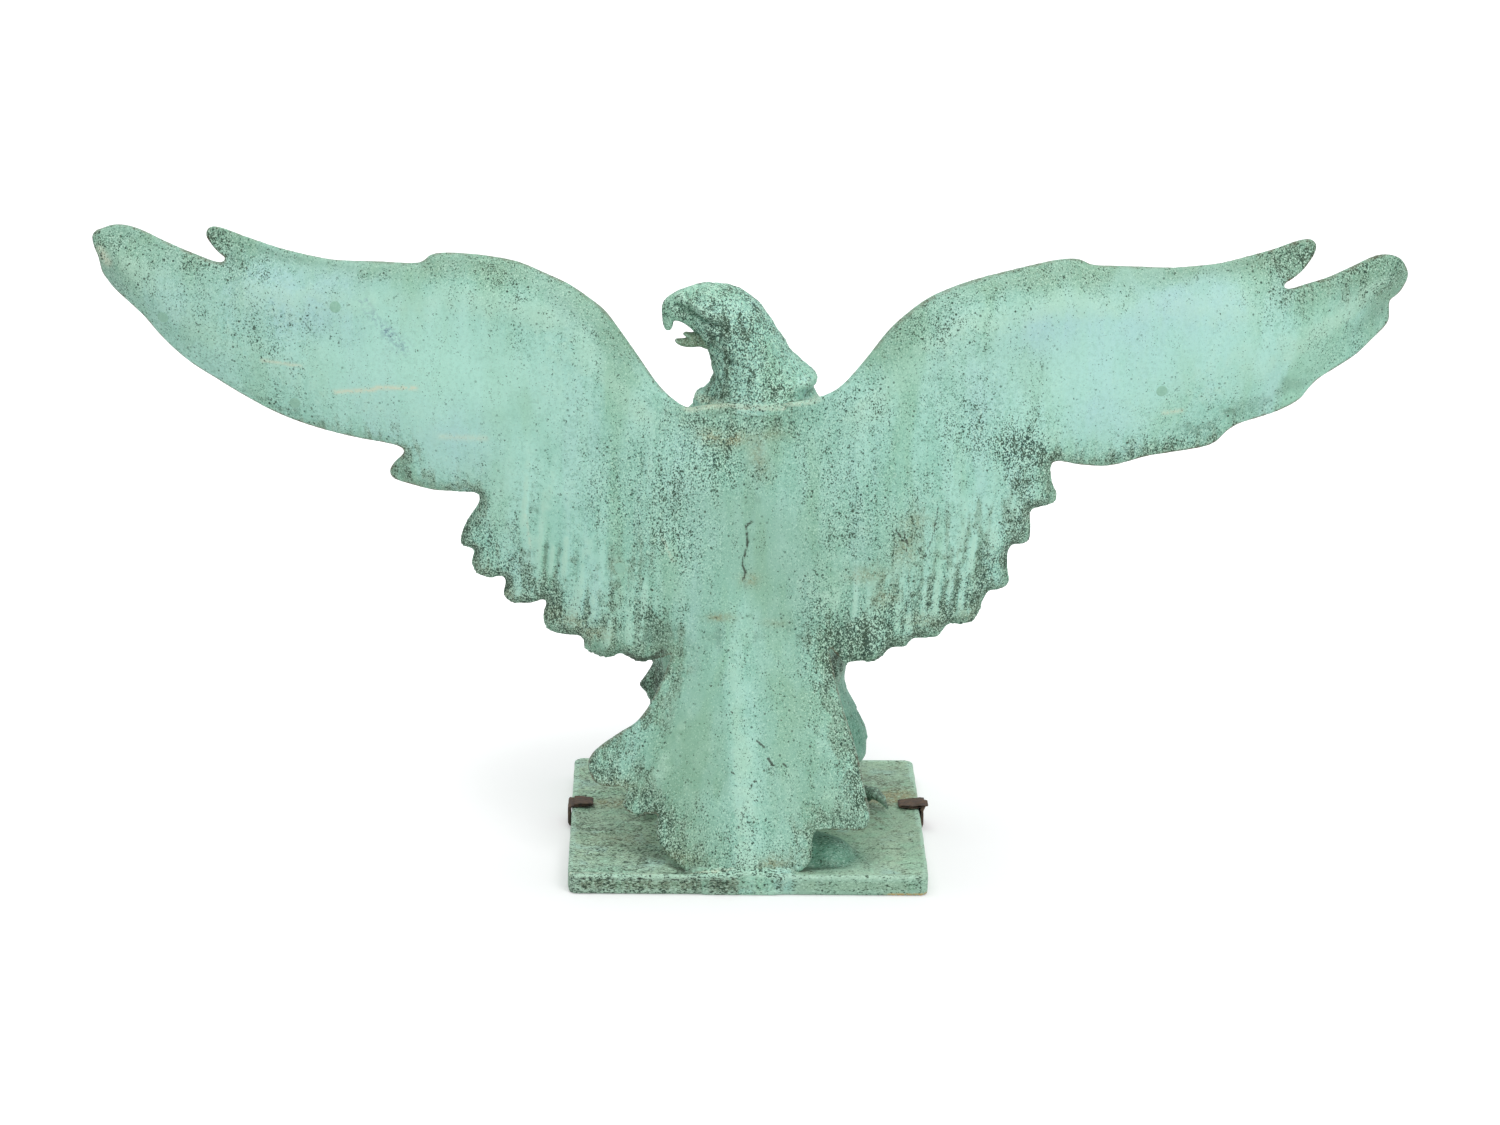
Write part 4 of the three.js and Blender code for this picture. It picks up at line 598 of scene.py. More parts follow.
# What lay_feathers takes for each row of the wings.
WING_ROWS = [
    (PRIMARY_ROOTS, PRIMARY_TIPS, 10, [30, 40, 46, 46, 44, 44, 42, 42, 42, 42], 0.4, 2.6, 1.8, 1.8),
    (SECONDARY_ROOTS, SECONDARY_TIPS, 13, [40, 36, 34, 30, 28], 0.4, 2.6, 1.6, 1.6),
    (GREATER_ROOTS, GREATER_TIPS, 19, [30, 34, 32, 30, 26], 2.2, 2.4, 1.6, 1.4),
    (MEDIAN_ROOTS, MEDIAN_TIPS, 20, [26, 28, 26, 22], 3.6, 2.2, 1.4, 1.2),
]


def front_feathers():
    raised = np.zeros_like(GX)
    for side in (1, -1):
        for row in WING_ROWS:
            lay_feathers(raised, side, *row)
        for i, tips in enumerate(LESSER_TIPS):
            roots = [(x - 8 * (i < 3), z + 30) for x, z in tips]
            lay_feathers(raised, side, roots, tips, 19 - i, 22 - 1.5 * i, 4.6 + 0.9 * i, 1.9, 1.2, 0.8, 0.4)
    lay_feathers(raised, 1, TAIL_ROOTS, TAIL_TIPS, 9, 38, 0.2, 2.2, 1.6, 1.4)
    return raised


BACK, FRONT, RADIUS = shell_depths()
FRONT = FRONT - front_feathers() * smooth(INSIDE, 0.5, 4.0)
HOLLOW_BACK = (blur(BACK, 4) - BACK) / 0.75 + 0.5 * (blur(BACK, 14) - BACK) / 1.8
HOLLOW_FRONT = (FRONT - blur(FRONT, 4)) / 1.1
back_at, front_at, edge_at, radius_at, back_hollow_at, front_hollow_at = (
    FlatMap(map_x, map_z, values) for values in (BACK, FRONT, EDGE, RADIUS, HOLLOW_BACK, HOLLOW_FRONT)
)


def sample_axes(low, high, step):
    return [np.arange(a, b + step, step) for a, b in zip(low, high)]


def shell_distance(x, y, z):
    """Distance to the wings and tail, negative inside."""
    return round_corner(np.maximum(y - back_at(x, z), front_at(x, z) - y), edge_at(x, z), radius_at(x, z))


def shell_field(x, y, z):
    """Distance to the wings and tail at each crossing of three axes."""
    return shell_distance(x[:, None, None], y[None, :, None], z[None, None, :])


def solid_mesh(name, axes, field, finish_points=None):
    """A mesh of the surface where the field is zero, closed and smooth shaded."""
    step = axes[0][1] - axes[0][0]
    reach = 4 * step
    grid = vdb.FloatGrid(reach)
    grid.copyFromArray(np.ascontiguousarray(np.clip(field, -reach, reach), np.float32))
    points, _, quads = grid.convertToPolygons(isovalue=0.0, adaptivity=0.0)
    points = points.astype(float) * step + np.array([a[0] for a in axes])
    return mesh_from(name, finish_points(points, quads) if finish_points else points, quads)


def mesh_from(name, points, faces):
    mesh = bpy.data.meshes.new(name)
    mesh.vertices.add(len(points))
    mesh.vertices.foreach_set("co", (np.asarray(points) * MM).astype(np.float32).ravel())
    faces = np.asarray(faces, np.int32)
    mesh.loops.add(faces.size)
    mesh.loops.foreach_set("vertex_index", faces.ravel())
    mesh.polygons.add(len(faces))
    mesh.polygons.foreach_set("loop_start", np.arange(0, faces.size, faces.shape[1], dtype=np.int32))
    shade_smooth(mesh)
    mesh.update(calc_edges=True)
    return linked(name, mesh)


def shade_smooth(mesh):
    mesh.polygons.foreach_set("use_smooth", np.ones(len(mesh.polygons), bool))


def normals_of(points, quads):
    a, b, c, d = (points[quads[:, i]] for i in range(4))
    face = np.cross(c - a, d - b)
    normal = np.zeros_like(points)
    for i in range(4):
        for axis in range(3):
            normal[:, axis] += np.bincount(quads[:, i], face[:, axis], len(points))
    return normal / np.maximum(np.linalg.norm(normal, axis=1, keepdims=True), 1e-9)


def evened(points, quads, rounds):
    """The points after each has moved to the middle of its neighbours some times."""
    here = quads.T.astype(np.int64).ravel()
    there = np.roll(quads, -1, 1).T.astype(np.int64).ravel()
    a, b = np.concatenate([here, there]), np.concatenate([there, here])
    count = np.maximum(np.bincount(a, minlength=len(points)), 1)[:, None]
    for _ in range(rounds):
        points = np.stack([np.bincount(a, points[b, axis], len(points)) for axis in range(3)], 1) / count
    return points


def hollows(points, quads, rounds, size):
    """How far each point lies below its surroundings: 1 in a hollow, -1 on a ridge."""
    offset = ((evened(points, quads, rounds) - points) * normals_of(points, quads)).sum(1)
    return np.clip(offset / size, -1, 1)


def onto_maps(points, quads):
    """Moves points of the wings and tail exactly onto the maps of depth, away from the outline."""
    x, y, z = points.T
    back, front = back_at(x, z), front_at(x, z)
    inner = -edge_at(x, z) > radius_at(x, z) + 0.6
    near_back = inner & (np.abs(y - back) < SHELL_STEP * 1.6)
    near_front = inner & (np.abs(y - front) < SHELL_STEP * 2.2) & ~near_back
    points = points.copy()
    points[near_back, 1] = back[near_back]
    points[near_front, 1] = front[near_front]
    return points


def cut_out(name, whole, corners):
    """The part of a mesh inside a closed line of (X, Z), with flat faces where it was cut."""
    count, far = len(corners), 400
    points = [Vector((x, y, z)) * MM for y in (-far, far) for x, z in corners]
    sides = [(i, (i + 1) % count, (i + 1) % count + count, i + count) for i in range(count)]
    mesh = bpy.data.meshes.new(name + "_cutter")
    mesh.from_pydata(points, [], sides + [tuple(range(count))[::-1], tuple(range(count, 2 * count))])
    cutter = linked(name + "_cutter", mesh)
    cut = whole.modifiers.new("cut", "BOOLEAN")
    cut.operation, cut.solver, cut.object = "INTERSECT", "MANIFOLD", cutter
    result = bpy.data.meshes.new_from_object(whole.evaluated_get(bpy.context.evaluated_depsgraph_get()))
    whole.modifiers.remove(cut)
    bpy.data.objects.remove(cutter)
    bpy.data.meshes.remove(mesh)
    shade_smooth(result)
    result.set_sharp_from_angle(angle=math.radians(SHARP_ANGLE))
    return linked(name, result)


shell_axes = sample_axes((-564, -57, -3), (564, 156, 537), SHELL_STEP)
shell = solid_mesh("shell", shell_axes, shell_field(*shell_axes), onto_maps)
# The castings meet over the spine and above the tail's rib.
SEAM_X, SEAM_Z, TAIL_SIDE, TAIL_NOTCH = 0.0, 214.0, 70.6, 172.0
half_wing = [
    (SEAM_X, 600), (SEAM_X, SEAM_Z), (TAIL_SIDE, SEAM_Z), (TAIL_SIDE, TAIL_NOTCH), (700, TAIL_NOTCH), (700, 600),
]
half_tail = [(TAIL_SIDE, SEAM_Z), (TAIL_SIDE, TAIL_NOTCH), (200, TAIL_NOTCH), (200, -20)]
left_wing = cut_out("left_wing_casting", shell, half_wing)
right_wing = cut_out("right_wing_casting", shell, [(-x, z) for x, z in half_wing])
tail = cut_out("tail_casting", shell, half_tail + [(-x, z) for x, z in reversed(half_tail)])
bpy.data.objects.remove(shell)


# ---- Torso and thighs
# Share of the neck seam's height, then of the half width and of the depth behind and in front.
TORSO_HALF_WIDTH, TORSO_BEHIND, TORSO_AHEAD = 86, 55, 98
TORSO_ROWS = [
    (0.28, 0.12, 0.3, 0.1), (0.32, 0.42, 0.62, 0.4), (0.36, 0.66, 0.82, 0.58), (0.42, 0.82, 0.94, 0.74),
    (0.51, 0.94, 1.0, 0.88), (0.6, 0.99, 0.98, 0.96), (0.69, 1.0, 0.93, 1.0), (0.78, 0.99, 0.82, 0.98),
    (0.86, 0.93, 0.7, 0.88), (0.93, 0.72, 0.57, 0.66), (1.0, 0.46, 0.5, 0.4),
]
THIGH_TOP = 212.0
# Z, then X and Y of the middle, half width and half depth.
LEFT_THIGH = [
    (48, 60, -48, 24, 28), (51, 60, -48, 26, 30), (66, 60, -48, 26, 30), (90, 58, -44, 24, 30),
    (113, 56, -38, 27, 33), (128, 56, -34, 28, 37), (150, 52, -30, 27, 40), (174, 48, -24, 30, 42),
    (205, 38, -18, 36, 40),
]
RIGHT_THIGH = [
    (48, -70, -54, 30, 32), (50, -70, -54, 31, 33), (62, -70, -54, 34, 35), (80, -69, -52, 34, 36),
    (105, -62, -46, 30, 35), (128, -56, -40, 27, 36), (150, -54, -32, 31, 40), (174, -50, -24, 36, 42),
    (205, -40, -18, 38, 40),
]
# The pointed tuft behind the left thigh and the dark one beside the tail: both ends, both radii, fillet.
TUFTS = [
    ((66, -26, 143), (89.5, -24, 129), 15.5, 2.6, 4), ((62, -26, 132), (78.5, -23, 119.5), 12, 4.5, 3),
    ((86, -24, 129), (78.5, -23, 119.5), 4.2, 4.5, 3), ((-58, -14, 172), (-72, -6, 146), 14, 7.0, 6),
]


def oval_distance(x, y, wide, deep, power=2.0):
    reach = ((np.abs(x) / wide) ** power + (np.abs(y) / deep) ** power) ** (1 / power)
    return (reach - 1) * np.minimum(wide, deep)


def cone_distance(x, y, z, start, end, r0, r1):
    start, end = np.array(start, float), np.array(end, float)
    axis = end - start
    t = sum((a - s) * d for a, s, d in zip((x, y, z), start, axis)) / (axis @ axis)
    t = np.clip(t, 0, 1)
    gap = np.sqrt(sum((a - s - t * d) ** 2 for a, s, d in zip((x, y, z), start, axis)))
    return gap - (r0 + (r1 - r0) * t)


def column(rows, number):
    return [(row[0], row[number]) for row in rows]


def thigh_field(rows, x, y, z):
    cx, cy, wide, deep = (curve(column(rows, i), z) for i in (1, 2, 3, 4))
    body = oval_distance(x - cx, y - cy, wide, deep)
    hem = 50 + 4.5 * np.abs(np.sin(np.arctan2(y - cy, x - cx) * 4.5)) - z
    return round_corner(body, np.maximum(hem, z - THIGH_TOP), 5.0)


def torso_field(x, y, z):
    wide, behind, ahead = (curve(column(TORSO_ROWS, i), z / NECK_SEAM) for i in (1, 2, 3))
    deep = np.where(y > 0, behind * TORSO_BEHIND, ahead * TORSO_AHEAD)
    body = oval_distance(x, y, wide * TORSO_HALF_WIDTH, deep, 2.25)
    body = round_corner(body, np.maximum(z - NECK_SEAM - 5, 112 - z), 8)
    for rows in (LEFT_THIGH, RIGHT_THIGH):
        body = join(body, thigh_field(rows, x, y, z), 13)
    for *cone, fillet in TUFTS:
        body = join(body, cone_distance(x, y, z, *cone), fillet)
    return body


def scales(across, down):
    """Overlapping scales, 1 high at their tips. across and down count scales."""
    best = np.zeros(np.broadcast(across, down).shape)
    for back_row in (0, 1):
        row = np.floor(down) - back_row
        shift = 0.5 * (row % 2)
        side = (across - np.round(across - shift) - shift) / 0.56
        place = (down - row) / 1.45
        inside = (place < 1 - 0.34 * np.abs(side) ** 2.2) & (np.abs(side) < 1)
        height = 0.25 + 0.75 * place + 0.28 * (1 - side**2) + 0.1 * np.exp(-((side / 0.1) ** 2))
        best = np.where(inside, np.maximum(best, height), best)
    return best


def dress_torso(points, quads):
    """Overlapping feathers on the breast and thighs."""
    points = evened(points, quads, 2)
    normal = normals_of(points, quads)
    x, y, z = points.T
    ruffle = rough(x, y, z, 30, 14)
    down = (400 - z) / (22 - 7 * smooth(z, 230, 390)) + 0.35 * rough(x, y, z, 36, 15)
    feathers = scales(np.arctan2(x, -y) * 78 / 17.5 + 0.45 * ruffle, down)
    for side, rows in ((1, LEFT_THIGH), (-1, RIGHT_THIGH)):
        cx, cy = curve(column(rows, 1), z), curve(column(rows, 2), z)
        turn = np.arctan2(x - cx, -(y - cy))
        leg = scales(turn * 34 / 15 + 0.3 * ruffle, (230 - z) / 25 + 0.25 * ruffle)
        share = smooth(x * side, 0, 14) * fall(z, 165, 205)
        feathers = feathers * (1 - share) + leg * share
    lift = 2.1 * feathers * (0.04 + 0.96 * smooth(-y, -30, 10)) * smooth(z, 46, 60)
    lift = lift + 0.5 * rough(x, y, z, 26, 11) + 0.25 * rough(x, y, z, 7, 12)
    return points + normal * lift[:, None]


torso_axes = sample_axes((-112, -112, 42), (112, 92, 404), SHELL_STEP)
tx, ty, tz = np.meshgrid(*torso_axes, indexing="ij", sparse=True)
torso_shell = shell_field(*torso_axes)
torso_body = join(torso_field(tx, ty, tz), torso_shell, 14 + 40 * smooth(tz, 200, 340) * fall(ty, 0, 30))
torso_body = highest(torso_body, GAP - torso_shell, ty - (back_at(tx, tz) - 5), edge_at(tx, tz) - 60)
torso = solid_mesh("torso_casting", torso_axes, torso_body, dress_torso)


# ---- Head and beak
HEAD_PROFILE = [
    (-60, 380), (-59, 392), (-55, 398), (-52.5, 404), (-54, 409), (-55, 413), (-49.5, 420), (-42, 426), (-34.5, 433),
    (-27, 444.5), (-19, 457), (-11.5, 468.5), (-6, 475.5), (0, 481), (11, 487.8), (22, 491.6), (34, 492.8),
    (44, 491.6), (55, 489), (67.5, 483), (74, 477.5), (76.3, 472), (76.3, 465), (75, 456), (72.4, 451.6), (69, 451.8),
    (67, 455), (66.2, 459.6), (61, 459.2), (53, 454), (46, 447.5), (39.5, 440), (36, 432), (34.5, 426.5), (33.2, 420),
    (31.6, 414), (34, 407), (39, 400.5), (44.5, 397), (49, 391.5), (50, 380), (50, 330), (-60, 330),
]
JAW_PROFILE = [
    (30, 435), (39, 435.6), (44, 437.4), (50, 436.9), (57, 437.2), (62, 438.8), (65, 441.6), (64.6, 444), (60, 444.4),
    (55.5, 445.2), (58.5, 448.4), (56.5, 450), (51, 449.6), (45, 451), (38, 447), (30, 444),
]
# Z, then the skull's radius and half depth.
SKULL_RADIUS = [(385, 50), (400, 45), (420, 40), (440, 35), (455, 32), (470, 30), (495, 28)]
SKULL_DEPTH = [
    (370, 22), (382, 32), (391, 42), (396, 42.5), (405, 41), (420, 36), (440, 31), (455, 29), (470, 28), (495, 26),
]
# Brow, eye socket, corner of the beak, nostril's edge and cheek folds: height, line, width, share at both ends.
FACE_LINES = [
    (3.6, 60, 481, 28, 469, 4.0, 0.7, 1), (-4.4, 64, 476, 42, 464, 2.0, 0.6, 1),
    (-3.4, 42, 465, 24, 459, 2.3, 1, 0.6), (-2.2, 26, 462, 16, 452, 2.6, 1, 0.3),
    (-3.2, 54, 455, 35, 441, 2.4, 1, 0.7), (2.0, 50, 459, 38, 449, 3.0, 0.6, 1),
    (-0.9, 56, 486, 50, 460, 1.3, 1, 1), (-2.4, 30, 440, 20, 431, 3.6, 1, 0.6), (-1.6, 20, 431, 4, 426, 3.4, 1, 0.3),
    (-1.5, 33, 432, 26, 408, 1.7, 0.9, 0.8), (1.1, 36.4, 432, 29.4, 408, 1.8, 1, 0.7),
    (-1.5, 27, 428, 20, 404, 1.7, 0.9, 0.8), (1.1, 30.4, 428, 23.4, 404, 1.8, 1, 0.7),
]
# Folds of the neck's foot, all the way round.
NECK_LINES = [
    (2.2, 45, 396, 34, 411, 3.4, 1, 0.5), (-2.2, 38, 393, 28, 408, 2.2, 1, 0.5),
    (-1.4, -50, 402, -40, 398, 3, 1, 0.4),
]
NECK_FOOT = 374.0
EYE_X, EYE_Z, EYE_WIDTH, EYE_HEIGHT = 33.5, 457.2, 6.2, 4.0


def profile_field(profile, axes, radius, deep):
    """A solid with a side view, swelling to a half depth over a radius in from its outline."""
    x, y, z = axes
    fx, fz = np.meshgrid(x, z, indexing="ij")
    edge = outline_distance(rounded_outline(profile), fx, fz)
    r, h = radius(fx, fz), deep(fx, fz)
    reach = np.maximum(edge + r, 0)[:, None, :]
    across = y[None, :, None] * (r / h)[:, None, :]
    return (np.hypot(reach, across) - r[:, None, :]) * np.minimum(h / r, 1)[:, None, :]


def head_radius(x, z):
    beak = smooth(x, 38, 56) * smooth(z, 440, 452)
    return curve(SKULL_RADIUS, z) * (1 - beak) + 9.0 * beak


def head_deep(x, z):
    beak = smooth(x, 37, 54) * smooth(z, 440, 452)
    return curve(SKULL_DEPTH, z) * (1 - beak) + (9.5 - 3.5 * smooth(x, 60, 76)) * beak


def relief(table, x, z):
    return sum(row[0] * groove(x, z, row[1:5], *row[5:]) for row in table)


def dress_head(points, quads):
    """The face on both sides, and feathers on the neck."""
    points = evened(points, quads, 1)
    normal = normals_of(points, quads)
    x, y, z = points.T
    eye = np.hypot((x - EYE_X) / EYE_WIDTH, (z - EYE_Z) / EYE_HEIGHT)
    face = relief(FACE_LINES, x, z) + 3.0 * np.sqrt(np.clip(1 - eye**2, 0, 1))
    face = face - 0.9 * np.exp(-(((eye - 1.12) / 0.16) ** 2))
    face = face - 0.7 * np.exp(-(((z - 456.6) / 0.7) ** 2)) * (eye < 0.8)
    face = face - 1.6 * bump(x, z, 60, 470, 2.6, 1.7) + 2.2 * bump(x, z, 22, 446, 9, 7)
    lift = face * smooth(np.abs(normal[:, 1]), 0.15, 0.6) + relief(NECK_LINES, x, z)
    lift = lift + 1.6 * bump(x, z, -48, 410, 7, 5)
    turn = np.arctan2(y, -(x + 8) * 0.8)
    neck = fall(z + 0.35 * x, 462, 482) * smooth(z, 396, 404)
    hackles = scales(turn * 42 / 11, (500 - z - 0.25 * x) / 19)
    lift = lift + (0.55 + 1.0 * smooth(-y, -6, 20)) * (hackles - 0.6) * neck
    plumage = 1 - smooth(x, 46, 54) * smooth(z, 444, 452)
    lift = lift + plumage * (0.55 * rough(x, y, z, 6.5, 21) + 0.5 * rough(x, y, z, 2.8, 22))
    lift = lift + 0.35 * rough(x, y, z, 15, 23)
    return points + normal * lift[:, None]


head_axes = sample_axes((-70, -52, 370), (80, 66, 497), HEAD_STEP)
head_body = profile_field(HEAD_PROFILE, head_axes, head_radius, head_deep)
neck_shell = shell_field(*head_axes)
head_body = join(head_body, neck_shell, 8 - 4 * smooth(head_axes[0], 20, 40)[:, None, None])
head_body = highest(head_body, GAP - neck_shell, NECK_FOOT - head_axes[2][None, None, :])
head = solid_mesh("head_casting", head_axes, head_body, dress_head)
jaw_axes = sample_axes((28, -12, 433), (68, 12, 453), HEAD_STEP * 0.6)
jaw_body = profile_field(JAW_PROFILE, jaw_axes, lambda x, z: 5.0 + 0 * x, lambda x, z: 7.5 - 3.0 * smooth(x, 50, 65))
jaw = solid_mesh("lower_beak_casting", jaw_axes, jaw_body, lambda p, q: evened(p, q, 1))


# ---- Feet
# Where each ankle stands, and the directions of its toes in degrees, the hind toe last.
FEET = {
    "left_foot": ((60, -48), (-132, -92, -48, 60)),
    "right_foot": ((-70, -54), (-112, -80, -46, 141)),
}
TOE_LENGTHS = (0.86, 1, 0.86, 0.72)
TOE_REACH = 62
# Along a toe and its talon: share of the reach, millimetres beyond that, height and radius.
TOE = [
    (0, 0, 16, 11), (0.3, 0, 17.5, 10.5), (0.42, 0, 14, 9.2), (0.62, 0, 12.5, 9.8), (0.76, 0, 9.5, 8.2),
    (0.98, 0, 9.5, 7.6),
]
TALON = [(0.94, 0, 11, 6), (1, 10, 13, 5.2), (1, 18, 9.5, 3.6), (1, 25, 1.8, 1.0)]


def foot_piece(name):
    (cx, cy), angles = FEET[name]
    axes = sample_axes((cx - 96, cy - 98, 16), (cx + 96, cy + 96, 92), FOOT_STEP)
    x, y, z = np.meshgrid(*axes, indexing="ij", sparse=True)
    body = cone_distance(x, y, z, (cx, cy, 30), (cx, cy, 90), 15, 13)
    top = PLATE_TOP + 0.3
    for degrees, length in zip(angles, TOE_LENGTHS):
        a = math.radians(degrees)
        for rows, fillet in ((TOE, 2.5), (TALON, 1.2)):
            stops = []
            for share, beyond, height, radius in rows:
                out = TOE_REACH * length * share + beyond
                stops.append(((cx + math.cos(a) * out, cy + math.sin(a) * out, top + height), radius))
            for (start, r0), (end, r1) in zip(stops, stops[1:]):
                body = join(body, cone_distance(x, y, z, start, end, r0, r1), fillet)
    body = highest(body, top - z, z - 88)

    def dress(points, quads):
        normal = normals_of(points, quads)
        px, py, pz = points.T
        out = np.hypot(px - cx, py - cy)
        ridges = np.abs(np.sin(out * math.pi / 6.5)) ** 0.7
        on_toe = smooth(out, 14, 20) * fall(out, 52, 60) * smooth(normal[:, 2], 0.1, 0.6)
        lift = 0.9 * (ridges - 0.6) * on_toe + 0.3 * rough(px, py, pz, 5, 31)
        return points + normal * (lift * smooth(pz, top, top + 1.5))[:, None]

    return solid_mesh(name + "_casting", axes, body, dress)


feet = {name: foot_piece(name) for name in FEET}


# ---- Base plate
def plate_top(x, y):
    """Height of the plate's uneven ground."""
    ground = 0.9 * rough(x, y, 0, 38, 41) + 0.45 * rough(x * 0.5 + y * 0.2, y, 0, 10, 42)
    waves = np.abs(rough(x * 0.42 + y * 0.25, y - 0.25 * x, 0, 6, 43)) + 0.7 * np.abs(rough(x * 0.5, y, 0, 3.4, 46))
    rocky = 0.25 + 0.75 * smooth(x, -10, 50) * (0.55 + 0.45 * smooth(rough(x, y, 0, 60, 44), -0.4, 0.3))
    margin = np.minimum(152 - np.abs(x), 152 - np.abs(y))
    hollow = bump(x, y, 60, 138, 16, 12) + bump(x, y, -58, 126, 22, 8) + 0.6 * bump(x, y, 88, 100, 34, 20)
    height = ground * 0.8 - 1.2 * waves * rocky - 2.4 * hollow
    return PLATE_TOP - 1.1 + height * smooth(margin, 1, 12) + 0.5 * fall(margin, 2, 8)


def mound(x, y, z, at, size, scale):
    reach = sum(((a - m) / s) ** 2 for a, m, s in zip((x, y, z), at, size))
    return (np.sqrt(reach) - 1) * scale


def plate_piece():
    """The plate, hollow below, with the mounds beside the tail's foot and a slot for the strap."""
    axes = sample_axes((-156, -156, -3), (156, 156, 48), PLATE_STEP)
    x, y, z = np.meshgrid(*axes, indexing="ij", sparse=True)
    corner = 9.0
    past_x, past_y = (np.abs(a) - (PLATE_HALF - corner) for a in (x, y))
    outline = np.hypot(np.maximum(past_x, 0), np.maximum(past_y, 0)) - corner
    outline = outline + np.minimum(np.maximum(past_x, past_y), 0)
    outline = outline + 0.35 * (1 + rough(x, y, z, 16, 45)) + 0.9 * smooth(y, 130, 150)
    body = round_corner(outline, np.maximum(z - plate_top(x, y), -z), 1.1)
    body = join(body, mound(x, y, z, (-30, 88, 12), (56, 34, 25), 24), 6)
    body = join(body, mound(x, y, z, (-70, 98, 16), (20, 26, 15), 13), 3)
    foot = shell_field(*axes)
    body = join(body, foot, 1.5 + 10.5 * smooth(54 - np.abs(x - 6), 0, 16) * smooth(y, 110, 140))
    body = highest(body, GAP - foot, y - 152.3, GAP - z)
    hollow = round_corner(highest(np.abs(x) - 143.5, np.abs(y) - 143.5, z - 11.5), 3.0 - foot, 2.0)
    slot = highest(np.abs(y - STRAP_Y) - 14.4, z - 4.6, 140 - np.abs(x))
    return solid_mesh("base_plate_casting", axes, np.maximum(body, -np.minimum(hollow, slot)))


plate = plate_piece()


# ---- Iron strap: the CAD bar with softened, corroded faces
def bend_flap(co):
    """Shortens a flap on top of the plate to what the photo shows, and bends one corner up and out."""
    x, z = co.x / MM, co.z / MM
    if z <= PLATE_TOP:
        return
    co.z = (PLATE_TOP + (z - PLATE_TOP) * 0.34) * MM
    if abs(x) < 152:
        narrow = 0.86 - 0.26 * min((152 - abs(x)) / 22, 1)
        co.y = (STRAP_Y + (co.y / MM - STRAP_Y) * narrow) * MM
        co.x = math.copysign(153 - (153 - abs(x)) * 0.8, x) * MM
    if x < -146 and co.y / MM > -30:
        out = min((-146 - x) / 8, 1)
        co.x -= 2.5 * out * MM
        co.z += 2.2 * out * MM


def strap_piece():
    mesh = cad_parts["hold_down_strap"].data.copy()
    longest_edge = 0.004
    work = bmesh.new()
    work.from_mesh(mesh)
    bmesh.ops.remove_doubles(work, verts=work.verts, dist=1e-6)
    bmesh.ops.dissolve_limit(work, angle_limit=0.02, verts=work.verts, edges=work.edges)
    bmesh.ops.bevel(work, geom=work.edges[:], offset=0.0004, segments=2, affect="EDGES", clamp_overlap=True)
    bmesh.ops.triangulate(work, faces=work.faces)
    for _ in range(4):
        long_edges = [e for e in work.edges if e.calc_length() > longest_edge]
        if long_edges:
            bmesh.ops.subdivide_edges(work, edges=long_edges, cuts=1)
            bmesh.ops.triangulate(work, faces=work.faces)
    work.normal_update()
    for vert in work.verts:
        bend_flap(vert.co)
    points = np.array([v.co for v in work.verts]) / MM
    lift = 0.16 * rough(*points.T, 3.2, 51) + 0.2 * rough(*points.T, 9, 52) - 0.1
    for vert, amount in zip(work.verts, lift):
        vert.co += vert.normal * float(amount) * MM
    work.to_mesh(mesh)
    work.free()
    shade_smooth(mesh)
    return linked("hold_down_strap_bar", mesh)


strap = strap_piece()


# ---- Plugs over the core holes: small domed discs that follow the wing's back
# Share of the half span and of the wing top's height.
PLUGS = {
    "left_wing_plug_tip": (0.891, 0.849),
    "left_wing_plug_outer": (0.691, 0.719),
    "left_wing_plug_upper": (0.626, 0.884),
    "left_wing_plug_inner": (0.197, 0.484),
    "right_wing_plug_outer": (-0.62, 0.758),
}
# Radius of each ring of points and its rise over the back.
PLUG_RINGS = [(0.2, 0.34), (1.6, 0.34), (3.0, 0.3), (4.1, 0.22), (4.75, 0.08), (5.0, -0.3), (5.0, -3.0)]
PLUG_SPOKES = 28


def plug_piece(name, share_x, share_z):
    cx, cz = share_x * HALF_SPAN, share_z * WING_TOP
    spokes = np.arange(PLUG_SPOKES) * 2 * math.pi / PLUG_SPOKES
    points = []
    for radius, rise in PLUG_RINGS:
        x, z = cx + radius * np.cos(spokes), cz + radius * np.sin(spokes)
        points += list(zip(x, back_at(x, z) + rise, z))
    faces = []
    for start in range(0, (len(PLUG_RINGS) - 1) * PLUG_SPOKES, PLUG_SPOKES):
        for i in range(PLUG_SPOKES):
            a, b = start + i, start + (i + 1) % PLUG_SPOKES
            faces.append((a, a + PLUG_SPOKES, b + PLUG_SPOKES, b))
    piece = mesh_from(name + "_disc", points, faces)
    work = bmesh.new()
    work.from_mesh(piece.data)
    bmesh.ops.holes_fill(work, edges=work.edges)
    bmesh.ops.recalc_face_normals(work, faces=work.faces)
    work.to_mesh(piece.data)
    work.free()
    return piece


plugs = {name: plug_piece(name, *place) for name, place in PLUGS.items()}


